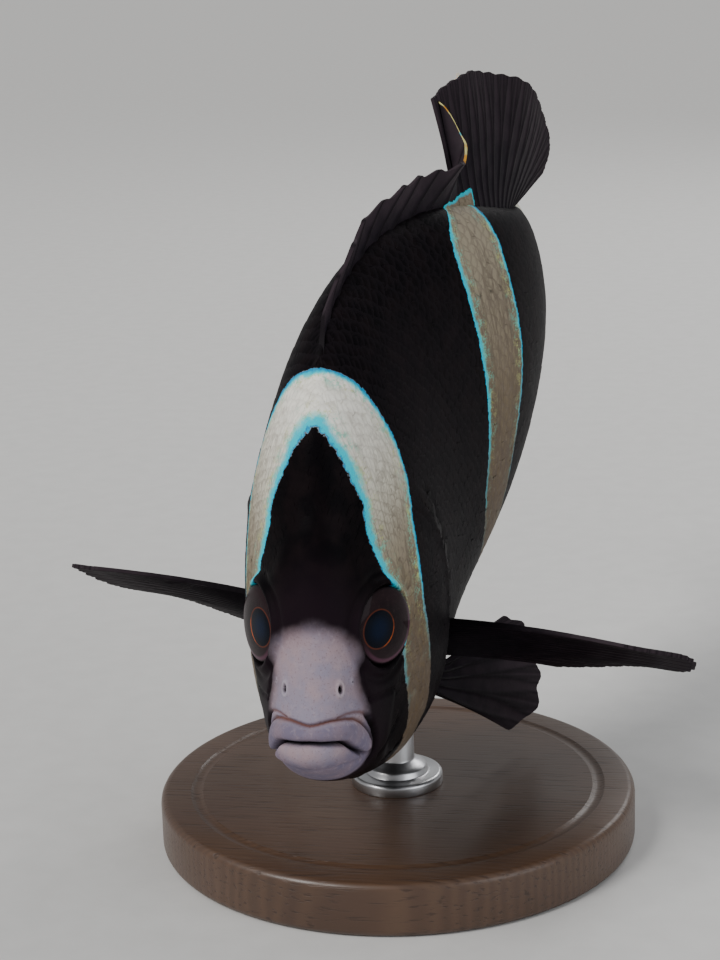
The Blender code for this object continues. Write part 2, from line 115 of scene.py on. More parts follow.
# %% The body's outline and its bend
TAIL_END = 1.058  # the stalk's flesh ends as a wedge inside the root of the tail fin
BACK = [(0, -0.047), (0.012, -0.020), (0.03, -0.002), (0.06, 0.033), (0.10, 0.088), (0.15, 0.153),
        (0.212, 0.222), (0.278, 0.259), (0.36, 0.283), (0.45, 0.288), (0.55, 0.272), (0.65, 0.232),
        (0.75, 0.175), (0.85, 0.118), (0.92, 0.087), (1.0, 0.079), (TAIL_END, 0.083)]
BELLY = [(0, -0.047), (0.012, -0.077), (0.03, -0.102), (0.07, -0.145), (0.12, -0.188), (0.20, -0.239),
         (0.30, -0.266), (0.42, -0.272), (0.52, -0.259), (0.60, -0.234), (0.68, -0.192), (0.76, -0.142),
         (0.85, -0.102), (0.92, -0.086), (1.0, -0.083), (TAIL_END, -0.087)]
HALF_WIDTH = [(0, 0), (0.012, 0.027), (0.03, 0.039), (0.06, 0.051), (0.10, 0.067), (0.14, 0.081),
              (0.20, 0.098), (0.28, 0.110), (0.36, 0.107), (0.45, 0.100), (0.55, 0.089), (0.65, 0.071),
              (0.75, 0.053), (0.85, 0.037), (0.93, 0.025), (0.98, 0.018), (1.02, 0.011), (TAIL_END, 0.0045)]
WIDEST_AT = [(0, -0.047), (0.03, -0.062), (0.07, -0.073), (0.14, -0.074), (0.25, -0.050), (0.45, -0.034),
             (0.70, 0.004), (TAIL_END, 0.0)]
UPPER_POWER = [(0, 1.0), (0.12, 1.04), (0.30, 1.26), (0.60, 1.14), (TAIL_END, 1.05)]
LOWER_POWER = [(0, 1.0), (0.12, 0.84), (0.30, 0.75), (0.60, 1.0), (TAIL_END, 1.05)]
back, belly, half_width = (smooth_curve(c, 0.5) for c in (BACK, BELLY, HALF_WIDTH))
widest_at, upper_power, lower_power = (smooth_curve(c) for c in (WIDEST_AT, UPPER_POWER, LOWER_POWER))


def heading(along):
    """The way the body runs, as an angle towards the fish's left."""
    return TURN_LEFT * ease(0.20, 0.58, along) - TURN_BACK * ease(0.55, 1.08, along)


SPINE_AT = np.linspace(-0.2, 1.6, 1801)
SPINE_STEP = SPINE_AT[1] - SPINE_AT[0]
SPINE_LEFT = np.cumsum(np.sin(heading(SPINE_AT))) * SPINE_STEP
SPINE_BACK = np.cumsum(np.cos(heading(SPINE_AT))) * SPINE_STEP
SPINE_LEFT -= np.interp(PIVOT_ALONG, SPINE_AT, SPINE_LEFT)
SPINE_BACK -= np.interp(PIVOT_ALONG, SPINE_AT, SPINE_BACK)


def tipped(x, y, above):
    """Left, back and up in body lengths, tipped nose down and set at the pivot's height, in metres."""
    back_way = y * math.cos(NOSE_DOWN) - above * math.sin(NOSE_DOWN)
    up_way = y * math.sin(NOSE_DOWN) + above * math.cos(NOSE_DOWN)
    return np.stack([x * BODY_LENGTH, back_way * BODY_LENGTH, up_way * BODY_LENGTH + PIVOT_HEIGHT], -1)


def place(along, left, above):
    """Points of the straight fish to their places in the bent, tipped model."""
    turn = heading(along)
    x = np.interp(along, SPINE_AT, SPINE_LEFT) + left * np.cos(turn)
    y = np.interp(along, SPINE_AT, SPINE_BACK) - left * np.sin(turn)
    return tipped(x, y, above)


print("upper lip at, mm:", [round(float(v) * 1000, 1) for v in place(0.0, 0.0, BACK[0][1])])

# %% [markdown]
# ## Walking round the body
# Each cross-section is an oval, fuller below and drawn in above. Even steps along its rim make an even mesh,
# so a table holds every section by the share of the way round: 0 is the belly, a quarter the left side, a
# half the back.

# %% Sections with even steps round the rim
TABLE_ROWS, TABLE_COLUMNS = 420, 720
QUARTER = 720  # fine steps over a quarter of a section's oval, from which the even steps are read
# The rows hold the square roots of the stations, so that they lie closer together at the snout.
ROW_ROOTS = np.linspace(0.004, math.sqrt(TAIL_END), TABLE_ROWS)


def section_table():
    """Every section's left and above at even steps, its girth, and where its left side is widest."""
    angle = np.linspace(-math.pi / 2, 1.5 * math.pi, 4 * QUARTER + 1)
    across, up = np.cos(angle), np.sin(angle)
    left_rows, above_rows, girths, sides = [], [], [], []
    for along in ROW_ROOTS ** 2:
        middle = widest_at(along)
        tall = np.where(up > 0, back(along) - middle, middle - belly(along))
        power = np.where(up > 0, upper_power(along), lower_power(along))
        left = half_width(along) * np.sign(across) * np.abs(across) ** power
        above = middle + tall * np.sign(up) * np.abs(up) ** power
        run = np.concatenate([[0], np.cumsum(np.hypot(np.diff(left), np.diff(above)))])
        even = np.linspace(0, run[-1], TABLE_COLUMNS + 1)
        left_rows.append(np.interp(even, run, left))
        above_rows.append(np.interp(even, run, above))
        girths.append(run[-1])
        sides.append(run[QUARTER] / run[-1])
    return np.array(left_rows), np.array(above_rows), np.array(girths), np.array(sides)


LEFT_TABLE, ABOVE_TABLE, GIRTH_TABLE, SIDE_TABLE = section_table()


def girth(along):
    """The way once round the body at this station."""
    return np.interp(np.sqrt(along), ROW_ROOTS, GIRTH_TABLE)


def side_turn(along):
    """The share of the way round at which the left side is widest."""
    return np.interp(np.sqrt(along), ROW_ROOTS, SIDE_TABLE)


def on_section(along, turn):
    """(left, above) on the body at these stations and shares of the way round."""
    row = np.clip((np.sqrt(along) - ROW_ROOTS[0]) / (ROW_ROOTS[1] - ROW_ROOTS[0]), 0, TABLE_ROWS - 1.001)
    column = np.mod(turn, 1.0) * TABLE_COLUMNS
    i, j = row.astype(int), np.clip(column.astype(int), 0, TABLE_COLUMNS - 1)
    u, v = row - i, column - j
    found = []
    for table in (LEFT_TABLE, ABOVE_TABLE):
        low = table[i, j] * (1 - v) + table[i, j + 1] * v
        high = table[i + 1, j] * (1 - v) + table[i + 1, j + 1] * v
        found.append(low * (1 - u) + high * u)
    return found


def body_points(along, turn):
    return place(along, *on_section(along, turn))


def body_normals(along, turn):
    """Unit vectors out of the body, from its slope both ways."""
    root, step, part = np.sqrt(along), 0.004, 0.003
    ahead, behind = np.maximum(root - step, ROW_ROOTS[0]), np.minimum(root + step, ROW_ROOTS[-1])
    lengthwise = body_points(behind ** 2, turn) - body_points(ahead ** 2, turn)
    round_it = body_points(along, turn + part) - body_points(along, turn - part)
    out = np.cross(lengthwise, round_it)
    return out / np.maximum(np.linalg.norm(out, axis=-1, keepdims=True), 1e-12)


print("girth at the middle, mm:", round(float(girth(0.42)) * BODY_LENGTH * 1000, 1))

# %% [markdown]
# ## Folds and openings of the head
# A clownfish has a small mouth with thick lips, a short nostril with a tiny pore behind it on each side, a
# rim round the eye, and a gill cover with a free rear edge. Each is a line or a spot on the straight fish.
# The skin sinks or swells by its distance from them. This keeps one closed skin, where cut and joined pieces
# would leave seams.

# %% Drawing on the head
surface_along, surface_turn = np.meshgrid(np.linspace(ROW_ROOTS[0], 0.6, 330) ** 2, np.linspace(0, 0.5, 420))
surface = np.stack([surface_along, *on_section(surface_along, surface_turn)], -1).reshape(-1, 3)
surface_tree = KDTree(len(surface))
for number, spot in enumerate(surface):
    surface_tree.insert(spot, number)
surface_tree.balance()


def on_skin(*points):
    """A smooth line through (along, left, above) points, laid on the body's surface."""
    curves = [smooth_curve([(i, point[k]) for i, point in enumerate(points)]) for k in range(3)]
    at = np.linspace(0, len(points) - 1, 5 * (len(points) - 1) + 1)
    return np.array([surface_tree.find(spot)[0] for spot in np.stack([curve(at) for curve in curves], -1)])


def distance_to(spots, line, reach=0.030):
    """The distance from each spot to a line. It is only worked out within reach, and is reach elsewhere."""
    nearest = np.full(len(spots), reach)
    boxed = (spots > line.min(axis=0) - reach) & (spots < line.max(axis=0) + reach)
    near = np.flatnonzero(np.all(boxed, axis=1))
    close = spots[near]
    found = np.full(len(near), reach)
    for a, b in zip(line, line[1:]):
        step = b - a
        t = np.clip((close - a) @ step / max(step @ step, 1e-12), 0, 1)
        found = np.minimum(found, np.linalg.norm(close - (a + t[:, None] * step), axis=1))
    nearest[near] = found
    return nearest


def enclosed(spots, corners):
    """Which spots lie inside an outline drawn on the side view."""
    inside = np.zeros(len(spots), bool)
    x, y = spots[:, 0], spots[:, 2]
    for (x0, y0), (x1, y1) in zip(corners, np.roll(corners, -1, axis=0)):
        crosses = (y0 > y) != (y1 > y)
        inside ^= crosses & (x < (x1 - x0) * (y - y0) / (y1 - y0 + 1e-15) + x0)
    return inside


def mirrored(spots):
    """The same spots, all on the left side."""
    return np.stack([spots[:, 0], np.abs(spots[:, 1]), spots[:, 2]], -1)


print("places to lay a line on:", len(surface))

# %% Lines and spots on the head
EYE = np.array([0.130, 0.067, 0.021])
EYE_RADIUS = 0.041
MOUTH = on_skin((0.006, 0.0, -0.028), (0.008, 0.013, -0.030), (0.012, 0.021, -0.033), (0.021, 0.031, -0.041),
                (0.026, 0.035, -0.051), (0.034, 0.040, -0.064), (0.043, 0.044, -0.076),
                (0.053, 0.048, -0.085))
LIP_TOP = on_skin((0.016, 0.0, -0.014), (0.018, 0.008, -0.014), (0.023, 0.016, -0.015),
                  (0.031, 0.028, -0.019), (0.046, 0.041, -0.032), (0.053, 0.047, -0.045),
                  (0.059, 0.050, -0.060), (0.0615, 0.052, -0.072), (0.059, 0.051, -0.081),
                  (0.053, 0.048, -0.085))
LIP_FOLD = on_skin((0.032, 0.027, -0.017), (0.041, 0.035, -0.020), (0.052, 0.042, -0.027),
                   (0.062, 0.049, -0.039), (0.066, 0.052, -0.050), (0.069, 0.055, -0.065),
                   (0.071, 0.055, -0.080), (0.070, 0.054, -0.096), (0.060, 0.050, -0.106))
CHIN_LINE = on_skin((0.006, 0.0, -0.060), (0.013, 0.024, -0.064), (0.026, 0.036, -0.073),
                    (0.040, 0.042, -0.084), (0.053, 0.048, -0.085))
NOSTRILS = [((0.051, 0.028, 0.004), 0.0030), ((0.064, 0.039, 0.003), 0.0012)]
UP_SNOUT = np.array([0.65, 0.0, 0.76])
CHEEK_FOLDS = [on_skin((0.090, 0.050, 0.014), (0.077, 0.047, -0.002), (0.073, 0.050, -0.016),
                       (0.075, 0.054, -0.031)),
               on_skin((0.075, 0.054, -0.031), (0.095, 0.064, -0.043), (0.116, 0.072, -0.055),
                       (0.141, 0.081, -0.072)),
               on_skin((0.080, 0.061, -0.120), (0.104, 0.074, -0.112), (0.130, 0.080, -0.092))]
CHEEK_EDGE = on_skin((0.182, 0.088, 0.060), (0.190, 0.095, 0.010), (0.188, 0.097, -0.050),
                     (0.178, 0.093, -0.110), (0.152, 0.082, -0.150), (0.112, 0.062, -0.168))
GILL_EDGE = on_skin((0.252, 0.092, 0.108), (0.282, 0.103, 0.070), (0.303, 0.109, 0.020),
                    (0.308, 0.110, -0.045), (0.300, 0.108, -0.110), (0.278, 0.100, -0.168),
                    (0.236, 0.080, -0.214), (0.180, 0.050, -0.222), (0.120, 0.020, -0.186))
UPPER_LIP = np.vstack([[(-0.03, -0.028)], MOUTH[:, ::2], LIP_TOP[::-1, ::2], [(-0.03, 0.010)]])
LOWER_LIP = np.vstack([[(-0.03, -0.028)], MOUTH[:, ::2], CHIN_LINE[::-1, ::2], [(-0.03, -0.062)]])
GILL_COVER = np.vstack([GILL_EDGE[:, ::2], [(0.05, -0.20), (0.05, 0.108)]])
mouth_run = np.linalg.norm(np.diff(MOUTH, axis=0), axis=1).sum()
print("half of the mouth's line, mm:", round(float(mouth_run) * BODY_LENGTH * 1000, 1))


# %% How the skin sinks and swells there
HEAD_END = 0.345  # no fold or edge of the head reaches further back
EYE_RIM, EYE_GROOVE, SOCKET, SOCKET_DEPTH = 0.0465, 0.0560, (0.0432, 0.0385), 0.0240


def lip_swell(spots, mouth, far, outline):
    """1 at the fullest part of a lip, near the mouth, falling to 0 at both its edges."""
    width = mouth + far + 1e-9
    share = mouth / width
    full = ease(0.0, 0.016, width) * (1 - 0.35 * ease(0.030, 0.052, spots[:, 1]))
    return enclosed(spots, outline) * 1.87 * np.sqrt(share) * (1 - share ** 2) * full


def nostril_reach(spots, centre):
    """Distance from a nostril's middle, measured so that the slit stands upright along the snout."""
    away = spots - np.array(centre)
    upward = away @ UP_SNOUT
    rest = np.linalg.norm(away - upward[:, None] * UP_SNOUT, axis=1)
    return np.hypot(upward / 1.45, rest / 0.80)


def head_relief(spots):
    """How far the skin stands out at each (along, left, above) spot, in body lengths."""
    relief = np.zeros(len(spots))
    head = np.flatnonzero(spots[:, 0] < HEAD_END)
    spots = mirrored(spots[head])
    mouth, lip, fold, chin = (distance_to(spots, line) for line in (MOUTH, LIP_TOP, LIP_FOLD, CHIN_LINE))
    out = 0.0080 * lip_swell(spots, mouth, lip, UPPER_LIP) + 0.0055 * lip_swell(spots, mouth, chin, LOWER_LIP)
    out = out - 0.0105 * bump(mouth, 0.0022) - 0.0030 * bump(lip, 0.0020) - 0.0022 * bump(chin, 0.0040)
    lower = ease(-0.030, -0.052, spots[:, 2])
    out = out - (0.0018 + 0.0042 * lower) * bump(fold, 0.0018 + 0.0016 * lower)
    for line in CHEEK_FOLDS:
        out = out - 0.0022 * bump(distance_to(spots, line), 0.0026)
    for centre, size in NOSTRILS:
        away = nostril_reach(spots, centre)
        out = out + 0.0020 * bump(away - 1.6 * size, 0.6 * size) - 0.0060 * bump(away, 0.70 * size)
    eye = np.linalg.norm(spots - EYE, axis=1)
    out = out + 0.0026 * bump(eye - EYE_RIM, 0.0040) - 0.0020 * bump(eye - EYE_GROOVE, 0.0040)
    out = out - SOCKET_DEPTH * ease(*SOCKET, eye) - 0.0034 * bump(distance_to(spots, CHEEK_EDGE), 0.0032)
    gill = distance_to(spots, GILL_EDGE)
    free = ease(0.100, 0.050, spots[:, 2])
    raised = np.maximum(1 - gill / 0.030, 0.0) ** 2 * enclosed(spots, GILL_COVER)
    out = out + free * (0.0065 * raised - 0.0070 * bump(gill, 0.0042))
    relief[head] = out
    return relief


print("the skin sinks at the mouth by, mm:", np.round(-head_relief(MOUTH) * BODY_LENGTH * 1000, 2).max())

# %% [markdown]
# ## Where scales grow
# The snout and the space round the eyes are bare. Everywhere else small scales lie over the skin. The skin
# sits lower there by the depth of the coat, so that the scales' outer faces keep the fish's true outline.

# %% The coat's edge and the finished skin surface
COAT_DEPTH = 0.0024
coat_front = by_height([(0.150, 0.25), (0.140, 0.13), (0.130, 0.09), (0.168, 0.04), (0.178, 0.0),
                        (0.150, -0.035), (0.112, -0.065), (0.098, -0.11), (0.106, -0.15), (0.128, -0.27)])


def coated(spots):
    """1 where scales grow and 0 on bare skin."""
    return ease(-0.006, 0.012, spots[:, 0] - coat_front(spots[:, 2]))


def skin_points(along, turn, lift=0.0):
    """Places on the finished skin, raised by lift body lengths, and the same spots on the straight fish."""
    left, above = on_section(along, turn)
    spots = np.stack([along, left, above], -1).reshape(-1, 3)
    rise = (head_relief(spots) - COAT_DEPTH * coated(spots)).reshape(along.shape) + lift
    where = place(along, left, above) + body_normals(along, turn) * (rise * BODY_LENGTH)[..., None]
    return where, spots.reshape(*along.shape, 3)


print("depth of the coat, mm:", round(COAT_DEPTH * BODY_LENGTH * 1000, 2))

# %% [markdown]
# ## The markings
# Three pale bars cross a black body, and the snout is pale too. A bar is told by the distance to its nearest
# edge, kept on the mesh as an attribute. The finish then draws ragged, shining edges from that distance, with
# a small painted glow.
# Painting an image would be quicker, but it would not follow a changed shape. Skin and scales read the same
# attributes, so a bar runs on from one to the other without a step.

# %% Distances to the edges of the bars
head_bar_front = by_height([(0.207, 0.219), (0.199, 0.203), (0.187, 0.172), (0.178, 0.141), (0.165, 0.118),
                            (0.159, 0.088), (0.161, 0.038), (0.158, 0.014), (0.147, -0.020), (0.144, -0.060),
                            (0.147, -0.106), (0.150, -0.160), (0.166, -0.215), (0.190, -0.250)])
head_bar_rear = by_height([(0.262, 0.252), (0.269, 0.241), (0.277, 0.218), (0.279, 0.168), (0.268, 0.122),
                           (0.240, 0.074), (0.222, 0.014), (0.213, -0.030), (0.212, -0.128), (0.218, -0.170),
                           (0.210, -0.220), (0.192, -0.250)])
mid_bar_front = by_height([(0.606, 0.256), (0.572, 0.240), (0.557, 0.198), (0.551, 0.117), (0.544, 0.050),
                           (0.534, 0.002), (0.522, -0.040), (0.515, -0.078), (0.520, -0.130), (0.538, -0.205),
                           (0.560, -0.262)])
mid_bar_rear = by_height([(0.664, 0.232), (0.668, 0.200), (0.661, 0.142), (0.657, 0.080), (0.642, 0.006),
                          (0.624, -0.036), (0.606, -0.094), (0.592, -0.150), (0.582, -0.215),
                          (0.574, -0.262)])
tail_bar_front = by_height([(0.872, 0.130), (0.880, 0.050), (0.884, 0.0), (0.880, -0.050), (0.868, -0.120)])
face_edge = by_height([(0.083, 0.062), (0.089, 0.048), (0.091, 0.028), (0.085, 0.014), (0.076, 0.003),
                       (0.072, -0.015), (0.069, -0.050), (0.062, -0.095), (0.040, -0.120), (0.020, -0.150)])
# The bars grow darker towards the belly: partly their own tan, and partly painted shade, as if lit from
# above.
head_bar_lightness_and_shade = smooth_curve([(-0.26, 0.04), (-0.12, 0.08), (-0.03, 0.16), (0.04, 0.30), (0.10, 0.50),
                              (0.16, 0.78), (0.22, 1.0)])
mid_bar_lightness_and_shade = smooth_curve([(-0.27, 0.05), (-0.10, 0.12), (0.02, 0.20), (0.12, 0.32), (0.22, 0.42),
                             (0.27, 0.34)])
TAIL_BAR_TONE = 0.80
print("head bar at mid height, mm wide:", round(float(head_bar_rear(0) - head_bar_front(0)) / MM, 1))
print("middle bar at mid height, mm wide:", round(float(mid_bar_rear(0) - mid_bar_front(0)) / MM, 1))


# %% What each place on the skin is told
def markings(spots):
    """Millimetres inside the nearest bar, its lightness, which falls lower down partly as painted shade, the
    share of the way forward in it, and millimetres inside the pale face, for each spot."""
    along, above = spots[:, 0], spots[:, 2]
    head_front, head_rear = along - head_bar_front(above), head_bar_rear(above) - along
    middle_front, middle_rear = along - mid_bar_front(above), mid_bar_rear(above) - along
    head, middle = np.minimum(head_front, head_rear), np.minimum(middle_front, middle_rear)
    tail = along - tail_bar_front(above)
    bar = np.maximum(np.maximum(head, middle), tail)
    on_head, on_middle = head >= bar, middle >= bar
    tone = np.where(on_middle, mid_bar_lightness_and_shade(above), TAIL_BAR_TONE)
    tone = np.where(on_head, head_bar_lightness_and_shade(above), tone)
    fore = np.where(on_middle, middle_rear / (middle_front + middle_rear), 1.0)
    fore = np.where(on_head, head_rear / (head_front + head_rear), fore)
    face = face_edge(above) - along
    return bar / MM, tone, np.clip(fore, 0, 1), face / MM


PORES_ALONG = np.arange(0.30, 0.80, 0.0235)
pores_above = smooth_curve([(0.29, 0.140), (0.36, 0.184), (0.46, 0.190), (0.566, 0.168), (0.641, 0.144),
                            (0.80, 0.088)])
PORES = np.stack([PORES_ALONG, pores_above(PORES_ALONG)], -1)


def creases(spots):
    """Four shares: the lips' creases; painted shade in the mouth, nostrils, gill slit, pores and eye rim; a
    nostril's pale rim; the lips and the chin."""
    spots = mirrored(spots)
    nose = np.zeros(len(spots))
    lips = ease(0.0, 0.007, distance_to(spots, LIP_TOP)) * enclosed(spots, UPPER_LIP)
    lips = np.maximum(lips, ease(-0.040, -0.056, spots[:, 2]) * ~enclosed(spots, UPPER_LIP))
    upper, lower = ease(-0.062, -0.040, spots[:, 2]), ease(-0.034, -0.052, spots[:, 2])
    fold = distance_to(spots, LIP_FOLD)
    lip = np.maximum(bump(distance_to(spots, LIP_TOP), 0.0016), 0.8 * bump(fold, 0.0014)) * upper
    slit = bump(distance_to(spots, GILL_EDGE), 0.0040) * ease(0.100, 0.050, spots[:, 2])
    deep = np.maximum(bump(distance_to(spots, MOUTH), 0.0020), 0.7 * slit)
    low_folds = np.maximum(bump(fold, 0.0030), 0.7 * bump(distance_to(spots, LIP_TOP), 0.0016))
    deep = np.maximum(deep, lower * low_folds)
    for centre, size in NOSTRILS:
        away = nostril_reach(spots, centre)
        deep = np.maximum(deep, ease(1.10 * size, 0.75 * size, away))
        nose = np.maximum(nose, bump(away - 1.6 * size, 0.5 * size))
    for pore in PORES:
        deep = np.maximum(deep, 0.75 * bump(np.hypot(*(spots[:, ::2] - pore).T), 0.0022))
    return lip, np.maximum(deep, ease(0.0445, 0.0425, np.linalg.norm(spots - EYE, axis=1))), nose, lips


def store(mesh, name, values):
    """Keeps one number for each vertex under this name."""
    attribute = mesh.attributes.new(name, "FLOAT", "POINT")
    attribute.data.foreach_set("value", np.asarray(values, np.float32).ravel())


MARKS = ("bar", "tone", "fore", "face", "lip", "deep", "nose", "lips")


def mark(mesh, spots):
    """Keeps the markings and creases of these spots on the mesh's vertices."""
    for name, values in zip(MARKS, (*markings(spots), *creases(spots))):
        store(mesh, name, values)


print("kept on skin and scales:", ", ".join(MARKS))

# %% [markdown]
# ## Shader sums that read like sums
# A finish is worked out from many small sums. Wired by hand they are a tangle of nodes. A small class wraps a
# socket, so that `1 - mask` or `a * b` adds the Math nodes, and one method adds any other node with its
# settings and sockets.

# %% A value in a node tree
def math_node(operation, reflected=False):
    """A method of Value that adds one Math node. Reflected, the Value stands behind the operator's sign."""

    def method(self, other):
        inputs = (other, self) if reflected else (self, other)
        return self.made(operation, *inputs)

    return method


class Value:
    """A number worked out in a shader. Sums with it add Math nodes."""

    def __init__(self, tree, socket):
        self.tree = tree
        self.socket = socket

    def made(self, operation, *inputs):
        node = self.tree.nodes.new("ShaderNodeMath")
        node.operation = operation
        for socket, value in zip(node.inputs, inputs):
            link(self.tree, socket, value)
        return Value(self.tree, node.outputs[0])

    __add__, __radd__ = math_node("ADD"), math_node("ADD", True)
    __sub__, __rsub__ = math_node("SUBTRACT"), math_node("SUBTRACT", True)
    __mul__, __rmul__ = math_node("MULTIPLY"), math_node("MULTIPLY", True)
    __truediv__, __rtruediv__ = math_node("DIVIDE"), math_node("DIVIDE", True)
    __pow__ = math_node("POWER")


def link(tree, socket, value):
    """Joins a Value to a socket, or sets the socket's own value."""
    if isinstance(value, Value):
        tree.links.new(value.socket, socket)
    elif isinstance(value, tuple) and len(value) == 3 and len(socket.default_value) == 4:
        socket.default_value = (*value, 1.0)
    else:
        socket.default_value = value


# %% A finish
class Finish:
    """One material, built up node by node around its Principled shader."""

    def __init__(self, name, **constants):
        self.material = bpy.data.materials.new(name)
        self.material.use_nodes = True
        self.tree = self.material.node_tree
        self.shader = self.tree.nodes["Principled BSDF"]
        for socket, value in constants.items():
            link(self.tree, self.shader.inputs[socket.replace("_", " ")], value)

    def node(self, kind, settings=None, output=0, **sockets):
        """Adds a node. Its settings are set first, then its sockets, named or numbered as in _2."""
        node = self.tree.nodes.new("ShaderNode" + kind)
        for name, value in (settings or {}).items():
            setattr(node, name, value)
        for name, value in sockets.items():
            key = int(name[1:]) if name[0] == "_" and name[1:].isdigit() else name.replace("_", " ")
            link(self.tree, node.inputs[key], value)
        return Value(self.tree, node.outputs[output])

    def stored(self, name):
        """The number kept on the mesh under this name."""
        return self.node("Attribute", {"attribute_name": name}, output="Fac")

    def place(self):
        return self.node("TexCoord", output="Object")

    def noise(self, scale, detail=2.0, where=None, roughness=0.5):
        return self.node("TexNoise", Scale=scale, Detail=detail, Roughness=roughness,
                         Vector=where or self.place())

    def step(self, value, low, high):
        """0 below low and 1 above high, with a smooth change between. Low may be the greater."""
        settings = {"interpolation_type": "SMOOTHSTEP"}
        if isinstance(high, Value) or low < high:
            return self.node("MapRange", settings, _0=value, _1=low, _2=high)
        return 1 - self.node("MapRange", settings, _0=value, _1=high, _2=low)

    def mix(self, share, a, b):
        return self.node("Mix", {"data_type": "RGBA"}, output=2, _0=share, _6=a, _7=b)

    def ramp(self, value, stops):
        node = self.tree.nodes.new("ShaderNodeValToRGB")
        while len(node.color_ramp.elements) < len(stops):
            node.color_ramp.elements.new(0.5)
        for element, (position, colour) in zip(node.color_ramp.elements, stops):
            element.position = position
            element.color = (*colour, 1.0)
        link(self.tree, node.inputs[0], value)
        return Value(self.tree, node.outputs[0])

    def wear(self, colour, roughness, *bumps):
        """Joins the colour, the roughness and a chain of (height, metres) bumps to the shader."""
        link(self.tree, self.shader.inputs["Base Color"], colour)
        link(self.tree, self.shader.inputs["Roughness"], roughness)
        normal = None
        for height, distance in bumps:
            before = {"Normal": normal} if normal else {}
            normal = self.node("Bump", Distance=distance, Strength=1.0, Height=height, **before)
        if normal:
            link(self.tree, self.shader.inputs["Normal"], normal)
        return self.material


# %% [markdown]
# ## The fish's finish
# The body is a soft, very dark black with a hint of brown. A bar is warm white at the nape and darker, tan,
# lower down: partly its own colour and partly painted shade. It is drawn with fine lines along it. Its edges
# are turquoise and blue where light is split by tiny plates in the skin, with a small painted glow, and
# ragged because the colour stops scale by scale, with yellow-green flecks just inside. The snout is a dusty
# pink, and the lips are darker and nearer to lilac.

# %% Colours of skin and scales
BLACK = (0.0026, 0.0020, 0.0028)
BROWN_BLACK = (0.0070, 0.0044, 0.0052)
PURPLE_BLACK = (0.0125, 0.0072, 0.0108)
FACE_PINK = (0.345, 0.260, 0.290)
FACE_GREY = (0.270, 0.240, 0.310)
LIP_LILAC = (0.125, 0.105, 0.165)
CREASE_ORANGE = (0.13, 0.040, 0.020)
MINT = (0.16, 0.66, 0.50)
TURQUOISE = (0.0, 0.50, 0.62)
DEEP_BLUE = (0.0, 0.20, 0.42)
FLECK = (0.55, 0.60, 0.20)


